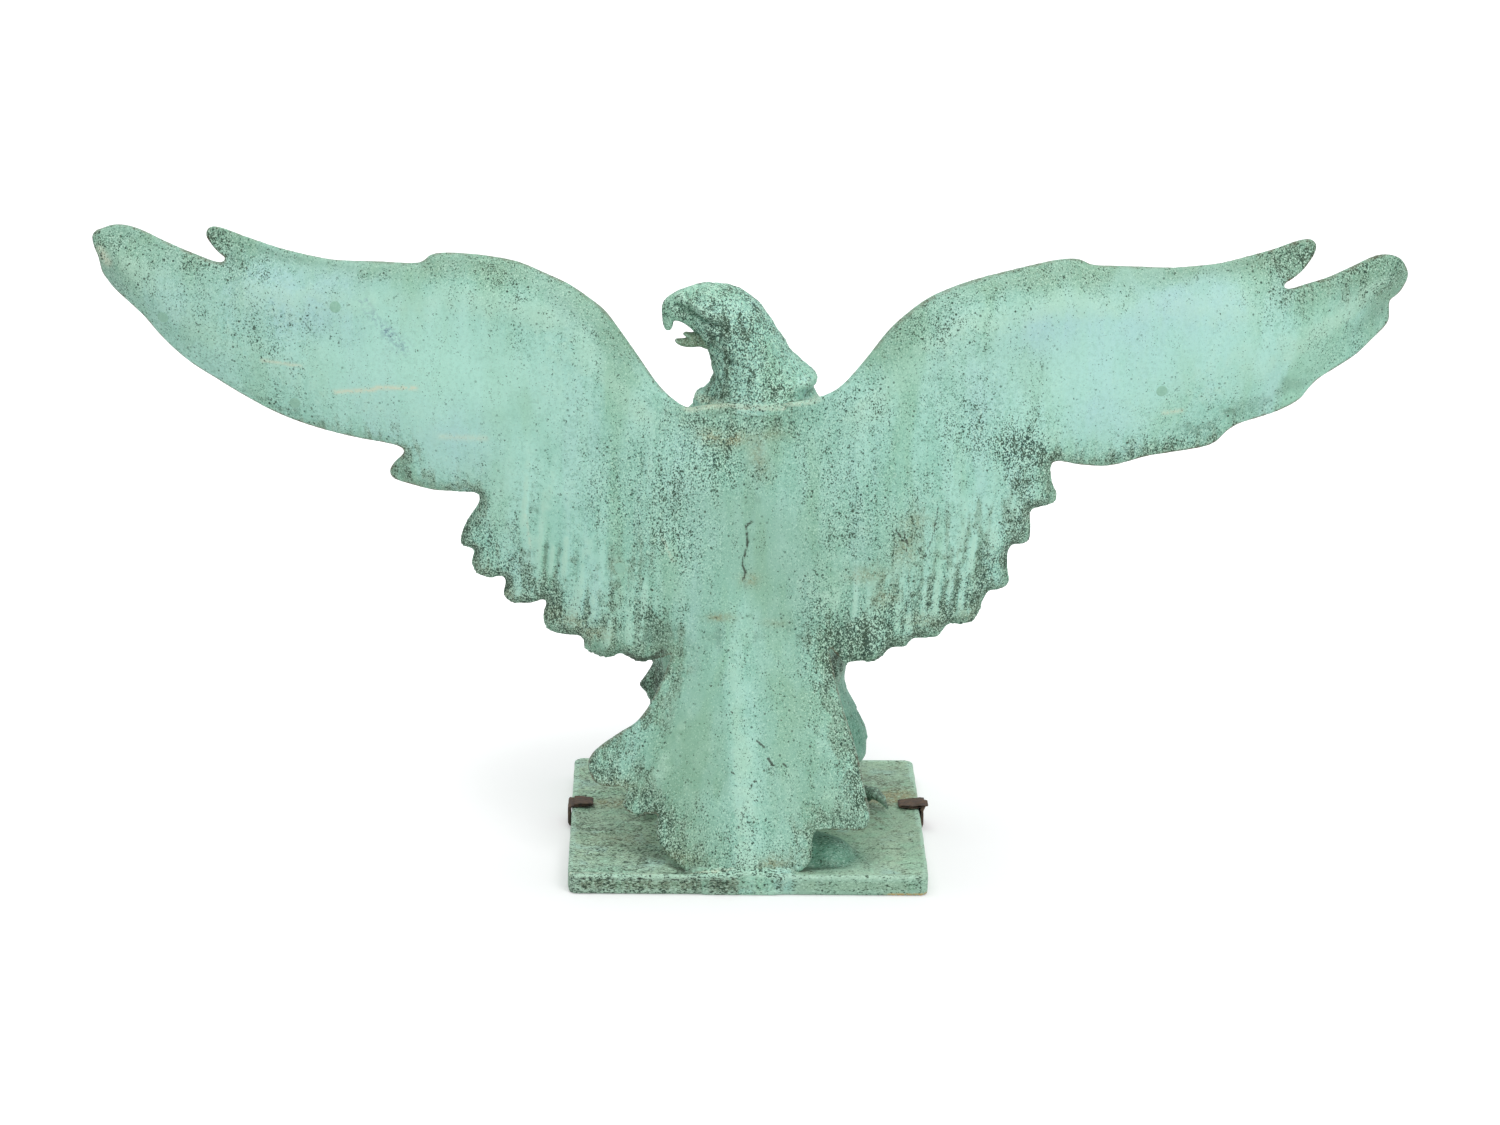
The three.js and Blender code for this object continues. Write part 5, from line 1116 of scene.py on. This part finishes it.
# ---- Patches of colour, some of them painted light and shade: X, Z, size in X, size in Z, strength, on the back of wings and tail
SPECKLED = [
    (545, 514, 26, 18, 0.5), (530, 470, 18, 40, 0.35), (455, 520, 26, 14, 0.8), (-470, 512, 40, 18, 0.8),
    (-530, 500, 34, 24, 0.55), (-440, 478, 30, 22, 0.35), (-500, 440, 40, 20, 0.3), (-235, 359, 26, 22, 0.95),
    (-208, 366, 24, 20, 0.65), (-240, 300, 26, 34, 0.5), (-215, 262, 26, 34, 0.5), (-175, 235, 34, 32, 0.45),
    (-120, 210, 40, 28, 0.8), (-92, 196, 22, 20, 1.0), (-228, 330, 16, 16, 0.5), (-232, 300, 12, 14, 0.5),
    (230, 280, 30, 34, 0.4), (205, 246, 24, 28, 0.45), (165, 222, 30, 30, 0.5), (120, 205, 36, 28, 0.6),
    (88, 226, 26, 26, 0.4), (70, 280, 30, 34, 0.4), (100, 330, 40, 40, 0.3), (240, 505, 50, 16, 0.25),
    (-260, 505, 60, 16, 0.3), (-150, 470, 40, 20, 0.3), (-175, 388, 26, 26, 0.3), (-130, 285, 40, 50, 0.3),
    (-75, 330, 40, 50, 0.35), (-80, 400, 34, 30, 0.35), (40, 350, 40, 40, 0.35), (10, 372, 44, 24, 0.5),
    (-60, 230, 24, 24, 0.4), (120, 90, 30, 26, 0.25), (80, 50, 34, 24, 0.35), (-90, 75, 18, 40, 0.35),
    (-60, 150, 14, 50, 0.25), (0, 36, 40, 24, 0.45), (-380, 380, 60, 40, 0.25), (-350, 350, 60, 12, 0.4),
    (400, 390, 90, 12, 0.25), (90, 320, 60, 50, 0.1), (400, 440, 70, 30, 0.15), (430, 500, 60, 12, 0.25),
    (430, 455, 60, 40, 0.22), (484, 486, 30, 30, 0.2),
]
SMOOTH_SPOTS = [
    (300, 430, 80, 50, 0.3), (-340, 450, 90, 45, 0.3), (190, 400, 50, 50, 0.15), (-10, 290, 26, 60, 0.3),
    (48, 130, 22, 50, 0.25),
]
LAVENDER = [
    (380, 469, 44, 26, 0.8), (423, 492, 34, 18, 0.6), (340, 491, 34, 14, 0.5), (260, 372, 40, 22, 0.5),
    (237, 345, 26, 30, 0.4), (480, 470, 40, 26, 0.4), (-368, 484, 44, 18, 0.9), (-241, 463, 30, 22, 0.7),
    (-335, 440, 70, 34, 0.5), (-286, 390, 34, 30, 0.6), (-195, 410, 26, 30, 0.4), (-300, 470, 60, 20, 0.4),
]
OLIVE = [
    (260, 510, 90, 12, 0.6), (150, 480, 40, 20, 0.4), (-260, 508, 90, 14, 0.8), (-400, 512, 60, 10, 0.6),
    (6, 372, 50, 20, 0.5), (40, 396, 30, 10, 0.4), (120, 380, 60, 60, 0.2), (-40, 150, 26, 30, 0.3),
    (105, 85, 36, 26, 0.4), (62, 38, 40, 24, 0.5), (-40, 24, 40, 20, 0.4), (-110, 260, 30, 40, 0.25),
    (60, 140, 30, 50, 0.15), (-50, 300, 60, 60, 0.15), (500, 500, 60, 16, 0.4), (-180, 440, 60, 40, 0.3),
]
GROUND = [
    (110, 200, 44, 22, 0.7), (86, 196, 18, 12, 0.9), (140, 235, 40, 34, 0.6), (190, 262, 34, 34, 0.45),
    (90, 262, 34, 40, 0.45), (-95, 208, 30, 26, 0.9), (-130, 238, 40, 34, 0.7), (-175, 255, 38, 38, 0.6),
    (-225, 300, 30, 44, 0.6), (-235, 355, 30, 24, 0.1), (-150, 300, 50, 40, 0.3), (-500, 490, 60, 24, 0.45),
    (-465, 516, 34, 14, 0.6), (540, 512, 34, 22, 0.4), (450, 524, 26, 12, 0.5), (-90, 90, 16, 50, 0.3),
    (100, 88, 40, 18, 0.6), (75, 50, 26, 20, 0.6), (-72, 60, 34, 16, 0.5), (10, 378, 50, 18, 0.3),
    (-30, 16, 34, 12, 0.6), (50, 24, 24, 18, 0.6), (-72, 160, 10, 40, 0.5), (56, 200, 20, 16, 0.3),
]
# Paler patches: the two large ones on the middle of the wings are painted light, where the flat faces turn to the
# light; the others are paler patina.
PALER_AND_PAINTED_LIGHT = [
    (320, 430, 150, 60, 0.85), (230, 400, 60, 50, 0.6), (-330, 440, 140, 60, 0.75), (-260, 400, 60, 50, 0.4),
    (-190, 430, 30, 40, 0.2), (500, 470, 40, 30, 0.3), (190, 320, 40, 50, 0.3), (-30, 330, 20, 30, 0.15),
]
# Darker patches: partly painted shade, over the spine, at the neck, at the wing tips and under the innermost hem
# lobes, and partly darker patina.
DARKER_AND_PAINTED_SHADE = [
    (0, 300, 130, 110, 0.3), (20, 300, 60, 70, 0.25), (-40, 250, 50, 60, 0.25), (0, 110, 110, 90, 0.45),
    (55, 110, 40, 80, 0.35), (-50, 100, 36, 80, 0.25), (0, 392, 60, 20, 0.3), (-150, 290, 60, 40, 0.15),
    (93, 185, 17, 5, 1.0), (-84, 190, 12, 12, 0.8), (110, 186, 40, 6, 0.5), (90, 70, 50, 30, 0.35),
    (60, 30, 40, 30, 0.55), (-70, 60, 40, 30, 0.3), (548, 508, 28, 24, 0.45), (-540, 496, 40, 30, 0.9),
    (450, 524, 30, 12, 0.3), (-466, 515, 38, 18, 0.95), (112, 446, 24, 40, 0.6), (-115, 452, 24, 34, 0.35),
    (130, 210, 60, 26, 0.3), (-130, 212, 60, 26, 0.4),
]
BROWN = [
    (14, 368, 15, 7, 0.9), (36, 372, 9, 6, 0.7), (-8, 352, 8, 14, 0.5), (-20, 372, 12, 6, 0.4),
    (24, 218, 13, 3.5, 0.8), (0, 251, 8, 6, 0.6), (-20, 215, 12, 4, 0.3), (172, 212, 14, 8, 0.5),
    (128, 196, 16, 8, 0.6), (150, 206, 12, 8, 0.5), (-150, 208, 14, 8, 0.5), (-116, 232, 12, 8, 0.5),
    (110, 259, 6, 5, 0.5), (-130, 278, 9, 14, 0.6), (-140, 300, 14, 6, 0.4), (-22, 24, 16, 6, 0.6),
    (60, 26, 14, 6, 0.5), (112, 78, 20, 5, 0.5), (-100, 255, 20, 8, 0.5), (-185, 212, 12, 8, 0.4),
    (230, 246, 10, 8, 0.4), (205, 224, 10, 7, 0.5), (38, 398, 16, 4, 0.5),
]
# Lines on the back: from, to, width and strength.
SCRATCHES = [
    (414, 423, 381, 420, 1.4, 0.7), (352, 398, 318, 403, 1.7, 1.0), (316, 405, 283, 407, 1.7, 1.0),
    (262, 365, 224, 366, 2.4, 0.4), (-350, 385, -366, 386, 1.8, 0.6), (552, 510, 546, 500, 4, 0.7),
    (74, 286, 66, 268, 1.2, 0.5), (190, 300, 186, 270, 1.0, 0.4),
]
SMEAR = [
    (331, 479, 324, 480, 2.0, 0.5), (331, 479, 320, 465.5, 2.0, 0.5), (324, 480, 316.8, 470, 2.0, 0.5),
    (318, 467, 306, 454, 3.4, 0.55), (306, 454, 293, 441, 6.0, 0.6),
]
# From, to and strength.
CRACKS = SPINE_CRACK + [
    (-128, 294, -133, 280, 0.8), (-133, 280, -130, 268, 0.9), (-122, 294, -129, 284, 0.8),
    (-158, 312, -155, 290, 0.7), (-155, 290, -147, 266, 0.7), (-6, 122, -13, 116.5, 0.8), (-16, 108, -20, 102.5, 1.0),
    (-28.5, 104, -31, 101, 0.9), (14.5, 97.6, 12, 96, 0.9), (-1, 85.5, -3, 90, 0.8), (-3, 90, -6.7, 91.5, 0.8),
    (-5, 76, -6, 75, 0.8), (-51, 116, -52, 115, 0.8), (-10, 143, -13, 142, 0.6), (16, 143.5, 14, 143, 0.5),
    (6.6, 67, 5, 64, 0.8), (9, 56, 8, 54, 0.7), (-3, 48.6, -6, 48, 0.7), (18, 46, 16, 44, 0.6),
    (-26, 137, -28, 136.5, 0.5),
]
# The stains by the strap's ends on the plate: X, Y, size in X, size in Y, strength.
PLATE_STAINS = [
    (-116, -44, 26, 11, 1.0), (-134, -58, 16, 14, 0.7), (104, -34, 40, 10, 0.8), (100, 60, 40, 16, 0.25),
]
# The values that each piece gives its material at every point. What a piece leaves out is 0.
VALUE_NAMES = (
    "speck", "cavity", "tone", "ground", "lavender", "olive", "brown", "rim", "scratch", "crack", "line", "smear",
    "teal", "bare", "copper",
)


def points_of(piece):
    points = np.empty(len(piece.data.vertices) * 3, np.float32)
    piece.data.vertices.foreach_get("co", points)
    return points.reshape(-1, 3).astype(float) / MM


def quads_of(piece):
    quads = np.empty(len(piece.data.loops), np.int32)
    piece.data.loops.foreach_get("vertex_index", quads)
    return quads.reshape(-1, 4)


def write_values(piece, **values):
    for name in VALUE_NAMES:
        item = piece.data.attributes.new(name, "FLOAT", "POINT")
        value = np.broadcast_to(values.get(name, 0.0), len(piece.data.vertices))
        item.data.foreach_set("value", value.astype(np.float32))


def patches(table, x, z, wobble=0.0):
    total = np.zeros(x.shape)
    for cx, cz, size_x, size_z, strength in table:
        total += strength * bump(x + wobble * 0.35 * size_x, z + wobble * 0.35 * size_z, cx, cz, size_x, size_z)
    return total


def lines(table, x, z):
    return np.clip(sum(strength * groove(x, z, line, width, 1, 1) for *line, width, strength in table), 0, 1)


def ridge_lines(table, x, z, width):
    """1 on the nearest of the lines and falling with distance, so that a shader can cut a narrow line from it."""
    best = np.zeros(x.shape)
    for *line, strength in table:
        best = np.maximum(best, groove(x, z, line, width, 1, 1) * (0.9 + 0.1 * strength))
    return best


def uneven(x, y, z, seed):
    """A slow unevenness that blurs the borders of patches."""
    return rough(x, y, z, 24, seed) + 0.4 * rough(x, y, z, 9, 63)


def paint_shell(piece):
    """Values for a piece of the wings and tail."""
    x, y, z = points_of(piece).T
    behind = smooth(y - (back_at(x, z) + front_at(x, z)) / 2, -1, 1)
    inner, side = -edge_at(x, z), np.abs(x)
    wobble = uneven(x, y, z, 61)

    def spots(table):
        return patches(table, x, z, wobble)

    top_edge = fall(inner, 4, 36) * smooth(z, 395, 470)
    hem = fall(inner, 0, 34) * fall(z, 330, 420)
    speck = 0.24 - 0.14 * smooth(side, 180, 280) + spots(SPECKLED) - spots(SMOOTH_SPOTS)
    speck = speck + 0.14 * top_edge + 0.45 * hem + 0.08 * wobble
    ground = spots(GROUND) + 0.75 * hem
    middle = rib_middle(z)
    rib = smooth(middle + 13 - x, -3, 6) * smooth(x - middle, -24, -6) * smooth(z, 4, 30) * smooth(250 - z, 0, 30)
    # Tone: paler and darker patina, with painted light on the wings' flat middles and painted shade over the spine
    # and under the hem lobes.
    tone = spots(PALER_AND_PAINTED_LIGHT) - spots(DARKER_AND_PAINTED_SHADE) * (1 - 0.85 * rib) - 0.12 * rib * behind
    # Painted shade along the lower edges of the hem lobes, where they roll away.
    tone = tone - fall(inner, 2, 16) * fall(z, 330, 400) * smooth(z, 168, 176)
    # Hollows are dark and ridges pale, but for the ridge that the rounded edge itself makes.
    hollow = back_hollow_at(x, z) * behind + front_hollow_at(x, z) * (1 - behind)
    hollow = np.where(hollow < 0, hollow * smooth(inner, 9, 24), hollow)
    hollow = hollow * (1 - 0.6 * smooth(z, 390, 430) * fall(inner, 14, 44))
    ridge = np.clip(-hollow * 1.6, 0, 1) * fall(inner, 60, 110) * smooth(side, 60, 90) * fall(z, 330, 400)
    ridge = ridge * smooth(z, 168, 176) * smooth(inner, 4, 14)
    speck, ground, tone = speck - 0.5 * ridge, ground * (1 - 0.8 * ridge), tone + 0.35 * ridge
    low_edge = smooth(edge_at(x, z - 2) - edge_at(x, z + 2), 0.0, 2.0)
    neck_line = fall(np.abs(inner - 1.0), 0.8, 3.0) * smooth(62 - side, 0, 8) * smooth(z, 385, 392)
    # Painted shade on the rolled-under face of the innermost left hem lobe.
    shade_under_lobe = 0.8 * fall(inner, 5.5, 9.0) * smooth(20 - np.abs(x - 88), 0, 6) * (z < 200) * (z > 170)
    write_values(
        piece,
        speck=np.clip(speck * (0.5 + 0.5 * behind) + 0.22 * (1 - behind), 0, 1.2),
        lavender=np.clip(spots(LAVENDER), 0, 1) * behind,
        olive=np.clip(spots(OLIVE) + 0.4 * top_edge, 0, 1),
        ground=np.clip(ground * (0.4 + 0.6 * behind), 0, 1),
        tone=np.clip(tone * behind - 0.42 * top_edge, -1, 1),
        brown=np.clip(spots(BROWN), 0, 1) * behind,
        cavity=np.clip(hollow, -1, 1) * smooth(inner, 2, 5),
        rim=fall(inner, 0.4, 2.4) * np.maximum(low_edge, 0.5) * smooth(z, 6, 60) * smooth(side, 60, 75),
        scratch=np.clip(lines(SCRATCHES, x, z) * behind + 0.4 * neck_line, 0, 1),
        crack=shade_under_lobe,
        line=ridge_lines(CRACKS, x, z, 3.0) * behind,
        smear=lines(SMEAR, x, z) * behind,
    )


def paint_plain(piece, values, size=0.5, strength=1.0):
    """Values for a piece of one casting: a table of them, or a function that gives it for X, Y and Z.
    A hollow that is size millimetres deep is as dark as can be, before strength is taken."""
    points, quads = points_of(piece), quads_of(piece)
    x, y, z = points.T
    wobble = uneven(x, y, z, 62)
    cavity = np.clip(hollows(points, quads, 5, size) + 0.35 * hollows(points, quads, 30, 1.6), -1, 1)
    found = dict(values(x, y, z) if callable(values) else values)
    found["speck"] = np.clip(found["speck"] + 0.16 * wobble, 0, 1.2)
    found["ground"] = np.clip(found["ground"] * (1 + 0.5 * wobble), 0, 1)
    write_values(piece, cavity=cavity * strength, **found)


def torso_values(x, y, z):
    # Painted shade on the torso close beside the tail's edge.
    shade_by_tail = np.exp(-np.maximum(shell_distance(x, y, z), 0) / 3.5)
    left_tuft = bump(x, z, 82, 132, 18, 26) * smooth(x, 66, 74)
    tufts = np.clip(1.2 * left_tuft + 1.1 * bump(x, z, -72, 158, 14, 20), 0, 1) * smooth(y, -60, -30)
    # The smoother, bluer skin of the right thigh.
    skin = bump(x, z, -96, 86, 34, 42) * smooth(-x, 56, 70) * fall(z, 126, 146)
    return {
        "speck": 0.34 + tufts - 0.1 * skin,
        "ground": 0.2 + 0.8 * tufts,
        "tone": -0.3 - 0.5 * tufts,
        "teal": skin,
        "crack": np.maximum(0.75 * shade_by_tail * fall(z, 172, 186), 0.45 * tufts),
    }


def head_values(x, y, z):
    seam = fall(z, 392, 400)
    speck = 0.9 - 0.4 * smooth(z + 0.35 * x, 496, 512) - 0.3 * smooth(-x, 8, 50) - 0.4 * seam
    return {
        "speck": speck + 0.4 * bump(x, z, 22, 452, 16, 16),
        "ground": 0.3 + 0.3 * bump(x, z, 40, 445, 14, 14) + 0.3 * bump(x, z, 30, 400, 14, 16),
        "tone": -0.1 + 0.2 * smooth(z, 480, 494) - 0.3 * bump(x, z, 38, 448, 12, 10),
        "scratch": 0.4 * fall(z, 396, 400) * smooth(z, 392, 394),
    }


def plate_values(x, y, z):
    tail_gap = np.maximum(shell_distance(x, y, z), 0)
    # The face below the tail, and where the tail's skin flows over the plate's near edge.
    face = fall(z, 13, 17) * smooth(y, 140, 150)
    copper = smooth(50 - np.abs(x - 6), 0, 12) * smooth(y, 136, 146)
    speck = 0.6 - 0.2 * smooth(-x, 0, 60) + 0.3 * smooth(z, 16, 18) * smooth(y, 144, 150)
    ground = 0.2 + 0.6 * np.exp(-tail_gap / 5) * smooth(z, 4, 14) * (1 - copper) + face * smooth(x, -30, 30)
    ground = ground + 0.2 * (bump(x, y, 90, 20, 70, 70) + bump(x, y, 60, 120, 26, 26))
    tone = 0.3 * bump(x, y, -90, 135, 60, 30) + 0.35 * bump(x, y, 110, 140, 60, 30)
    # The left of the near face is darkened as painted shade.
    tone = tone - 0.8 * bump(x, y, -110, -40, 60, 100) - 0.9 * smooth(x, -20, 50) * face
    # Painted shade where the tail's lobes meet the plate, along the tail's foot and on the left of the near face.
    lobe_shade = bump(x, y, -56, 128, 26, 4) + 0.8 * bump(x, y, -40, 134, 18, 4) + 0.7 * bump(x, y, 58, 140, 14, 5)
    contact_shade = 0.6 * np.exp(-tail_gap / 2.5) * smooth(z, 10, 16) * (1 - copper)
    contact_shade = contact_shade + 0.8 * lobe_shade * smooth(z, 12, 16) + 0.22 * face * smooth(x, -30, 30)
    # The pale, uneven crest along the near top edge, and the dark line below it.
    crest_y = 146.5 + 1.6 * rough(x, 0, 0, 14, 47)
    line_z = 13.6 + 1.2 * rough(x, 0, 0, 12, 48)
    line = (0.94 + 0.1 * rough(x, 0, 0, 9, 49)) * smooth(x, 8, 20) * np.exp(-(((z - line_z) / 2.6) ** 2))
    return {
        "speck": speck + 0.2 * fall(z, 13, 17) * smooth(x, -20, 50),
        "ground": np.clip(ground + 0.5 * bump(x, y, -110, -60, 60, 90), 0, 1),
        "brown": np.clip(1.6 * patches(PLATE_STAINS, x, y) * smooth(z, 8, 16), 0, 1),
        "tone": tone,
        "crack": np.clip(contact_shade, 0, 0.85),
        "scratch": 0.7 * smooth(x, 0, 30) * np.exp(-(((y - crest_y) / 1.5) ** 2)) * smooth(z, 14, 16),
        "line": line * smooth(y, 144, 148),
        "copper": copper,
        "teal": np.clip(1.6 * bump(x, y, -70, 104, 26, 26), 0, 1) + 0.4 * smooth(-x, 20, 50) * face,
        "bare": smooth(-x, 112, 122) * fall(z, 1.0, 2.6) * smooth(y, 140, 150),
    }


JAW_VALUES = {"speck": 0.6, "olive": 0.3, "ground": 0.6, "brown": 0.4, "tone": -0.4}
FOOT_VALUES = {"speck": 0.45, "ground": 0.4, "tone": -0.4}
FOOT_SHADE = {"left_foot": 0.1, "right_foot": 0.7}

for piece in (left_wing, right_wing, tail):
    paint_shell(piece)
paint_plain(torso, torso_values, strength=0.9)
paint_plain(head, head_values, size=0.45, strength=1.7)
paint_plain(jaw, JAW_VALUES, size=0.3)
for name, piece in feet.items():
    paint_plain(piece, {**FOOT_VALUES, "crack": FOOT_SHADE[name]}, size=0.4)
paint_plain(plate, plate_values, size=0.45, strength=0.95)


# ---- Materials
def colour(red, green, blue):
    """A colour as a screen shows it, 0 to 255, in the linear values that shaders take."""
    return tuple(((c / 255 + 0.055) / 1.055) ** 2.4 if c > 10 else c / 255 / 12.92 for c in (red, green, blue))


def scaled(paint, factor):
    return tuple(c * factor for c in paint)


def surface(n, base, roughness, height, metallic, distance):
    normal = n.make("Bump", output="Normal", Strength=0.6, Distance=distance, Height=height)
    named = {"Metallic": metallic, "Base Color": base, "Roughness": roughness, "Normal": normal}
    n.make("OutputMaterial", n.make("BsdfPrincipled", **named))


def patina(name, light, middle, deep, soil, drawn=(1.0, 1.0, 0.8)):
    """Copper-green corrosion: a smooth skin, streaks that ran down it, darker ground and fine dark pits, with painted
    light and painted shade where a piece's values ask for them.
    """
    material = bpy.data.materials.new(name)
    n = Nodes(material)
    place = n.place()
    speck, cavity, tone, ground = (n.attribute(key) for key in ("speck", "cavity", "tone", "ground"))

    cloud = n.noise(place, 16, 4, 0.6)
    streak = n.noise(place, 70, 4, 0.6, stretch=(1.0, 1.0, 0.24))
    grain = n.noise(place, 330, 4, 0.65)
    fine = n.noise(place, 900, 2, 0.6)
    wide = n.noise(place, 95, 4, 0.62)
    columns = n.noise(place, 30, 3, 0.55, stretch=(1.0, 1.0, 0.18))
    drips = n.noise(place, 125, 3, 0.5, stretch=(1.0, 1.0, 0.09))
    skin = cloud * 0.5 + streak * 0.5
    base = n.mix(n.ramp(skin, 0.38, 0.62), middle, light)

    def coat(share, paint):
        nonlocal base
        base = n.mix(share, base, paint)

    def grainy_coat(key, paint, *ramp):
        """A coat where the piece's value says so, broken up by the grain."""
        coat(n.attribute(key) * n.ramp(grain, *ramp), paint)

    coat(n.attribute("copper"), n.mix(n.ramp(skin, 0.38, 0.62), colour(140, 192, 168), colour(160, 212, 190)))
    coat(n.ramp(columns, 0.47, 0.62, 0, 0.55), colour(148, 198, 166))
    coat(n.ramp(columns, 0.44, 0.32, 0, 0.45), colour(172, 216, 210))
    # Paler and darker tones, among them painted light and painted shade.
    coat(n.ramp(tone, 0.0, 1.0, 0, 0.75, "LINEAR"), colour(184, 234, 217))
    coat(n.ramp(tone, 0.0, -1.0, 0, 0.8, "LINEAR"), colour(116, 156, 128))
    coat(n.attribute("lavender") * n.ramp(streak, 0.3, 0.6, 0.5, 0.9), colour(170, 212, 214))
    coat(n.attribute("olive") * 0.6, colour(139, 171, 144))
    grainy_coat("smear", colour(134, 168, 178), 0.4, 0.6)
    # The darker ground shows between the streaks of the green skin.
    bared = n.ramp(drips * 0.68 + wide * 0.32 - (0.6 - ground * 0.17), -0.05, 0.08)
    bared = bared * n.ramp(grain, 0.36, 0.56, 0.35, 1)
    soil_tone = n.mix(n.ramp(cloud, 0.4, 0.6), soil, scaled(soil, 1.25))
    coat(bared * n.ramp(ground, 0.0, 0.5, 0.1, 0.75, "LINEAR"), soil_tone)
    speckled = n.ramp(speck, 0.04, 0.36, 0.35, 1.0)
    coat(n.ramp(grain, 0.46, 0.66, 0, 0.55) * speckled, deep)
    coat(n.ramp(fine, 0.52, 0.7, 0, 0.34) * speckled, deep)
    coat(n.ramp(cavity, -0.1, -0.9, 0, 0.55), colour(182, 220, 198))
    coat(n.ramp(cavity, 0.15, 1.0, 0, 0.62), colour(74, 106, 86))
    grainy_coat("teal", colour(84, 140, 118), 0.3, 0.65, 1.0, 0.75)
    tan = n.mix(n.ramp(fine, 0.35, 0.65), colour(122, 114, 78), colour(160, 164, 124))
    grainy_coat("brown", tan, 0.34, 0.56, 0.25, 1)
    grainy_coat("scratch", colour(214, 222, 196), 0.32, 0.5)

    # Dark pits: the worms of a fine noise above a level that the patch decides, and pale crumbs between them.
    level = 0.675 - speck * 0.145 - (wide - 0.5) * 0.17 - (drips - 0.5) * 0.2
    worms = n.noise(place, 850, 2.5, 0.55, stretch=drawn, distortion=0.5)
    pits = n.ramp(worms - level, -0.002, 0.016)
    broad = n.noise(place, 330, 3, 0.6, stretch=drawn, distortion=0.8)
    large = n.ramp(broad - (level + 0.065), 0.0, 0.02)
    # Single round dots, in some places only.
    lone = n.ramp(n.make("TexVoronoi", output="Distance", Vector=place, Scale=150), 0.12, 0.19, 1, 0)
    lone = lone * n.ramp(n.noise(place, 47, 1), 0.53, 0.57) * n.ramp(speck, 0.05, 0.5, 0.45, 1.0)
    dark = n.math("MAXIMUM", n.math("MAXIMUM", pits, large), lone)
    crumbs = n.ramp(worms + speck * -0.03, 0.42, 0.36)
    coat(crumbs * n.ramp(speck, 0.0, 1.0, 0.25, 0.75, "LINEAR"), colour(202, 238, 216))
    coat(dark * 0.92, n.mix(n.ramp(wide, 0.35, 0.65), colour(22, 56, 46), colour(56, 78, 60)))
    coat(n.attribute("rim") * n.ramp(wide, 0.4, 0.58, 0.1, 0.85), colour(112, 92, 70))
    # Painted shade under a hem lobe, beside the tail, on the feet and where the tail meets the plate, and the dark of
    # the torso's tufts.
    grainy_coat("crack", colour(52, 58, 46), 0.36, 0.52, 0.2, 0.95)
    grainy_coat("bare", colour(196, 168, 108), 0.4, 0.5)
    cut = n.ramp(n.attribute("line") + (grain - 0.5) * 0.5, 0.84, 0.96)
    coat(cut * 0.85, colour(44, 54, 42))

    height = grain * 0.6 - dark * 0.75 + fine * 0.35 - bared * (ground * 0.3)
    surface(n, base, n.ramp(skin + dark * 0.3, 0.3, 0.9, 0.55, 0.86), height, 0.0, 0.0008)
    return material


def plain_metal(name, light, dark, metallic, rough_low, rough_high, scale):
    material = bpy.data.materials.new(name)
    n = Nodes(material)
    place = n.place()
    cloud = n.noise(place, scale, 5, 0.65)
    grain = n.noise(place, scale * 7, 3, 0.6)
    base = n.mix(n.ramp(cloud, 0.35, 0.65), dark, light)
    base = n.mix(n.ramp(grain, 0.55, 0.72, 0, 0.6), base, scaled(dark, 0.45))
    roughness = n.ramp(cloud, 0.3, 0.7, rough_low, rough_high)
    surface(n, base, roughness, cloud * 0.6 + grain * 0.4, metallic, 0.0005)
    return material


green = patina(
    "green_patina_metal", colour(174, 223, 208), colour(152, 207, 188), colour(112, 164, 142), colour(118, 140, 118),
)
ground_green = patina(
    "plate_patina_metal", colour(180, 208, 178), colour(158, 186, 158), colour(112, 140, 116), colour(112, 118, 96),
    drawn=(0.5, 1.0, 1.0),
)
# A darker copy of the green patina: on the lower beak a darker patina, on the feet painted shade, as they stand in
# shadow under the body and tail.
dark_and_shaded_green = patina(
    "dark_and_shaded_patina_metal", colour(122, 158, 136), colour(98, 134, 114), colour(72, 104, 88), colour(76, 86, 70),
)
iron = plain_metal("rusty_iron_bar", colour(112, 92, 76), colour(62, 52, 46), 0.25, 0.6, 0.9, 240)
bronze = plain_metal("bare_bronze", colour(150, 118, 68), colour(104, 82, 50), 0.85, 0.35, 0.6, 160)
tan_metal = plain_metal("plug_patina", colour(156, 202, 180), colour(142, 190, 168), 0.0, 0.6, 0.85, 300)


def coat_with(item, material):
    item.data.materials.clear()
    item.data.materials.append(material)


def dress(piece, material, slot, *nodes):
    coat_with(piece, material)
    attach(piece, "root")
    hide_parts(*nodes)


dress(left_wing, green, "green_patina", "left_wing")
dress(right_wing, green, "green_patina", "right_wing")
dress(tail, green, "green_patina", "tail")
dress(torso, green, "green_patina", "torso")
dress(head, green, "green_patina", "head")
dress(plate, ground_green, "green_patina", "base_plate")
dress(jaw, dark_and_shaded_green, "dark_patina", "lower_beak")
for name, piece in feet.items():
    dress(piece, dark_and_shaded_green, "dark_patina", name)
dress(strap, iron, "rusty_iron", "hold_down_strap")
for name, piece in plugs.items():
    dress(piece, tan_metal, "dark_patina", name)

for name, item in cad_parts.items():
    coat_with(item, tan_metal if "neck_pin" in name else bronze)
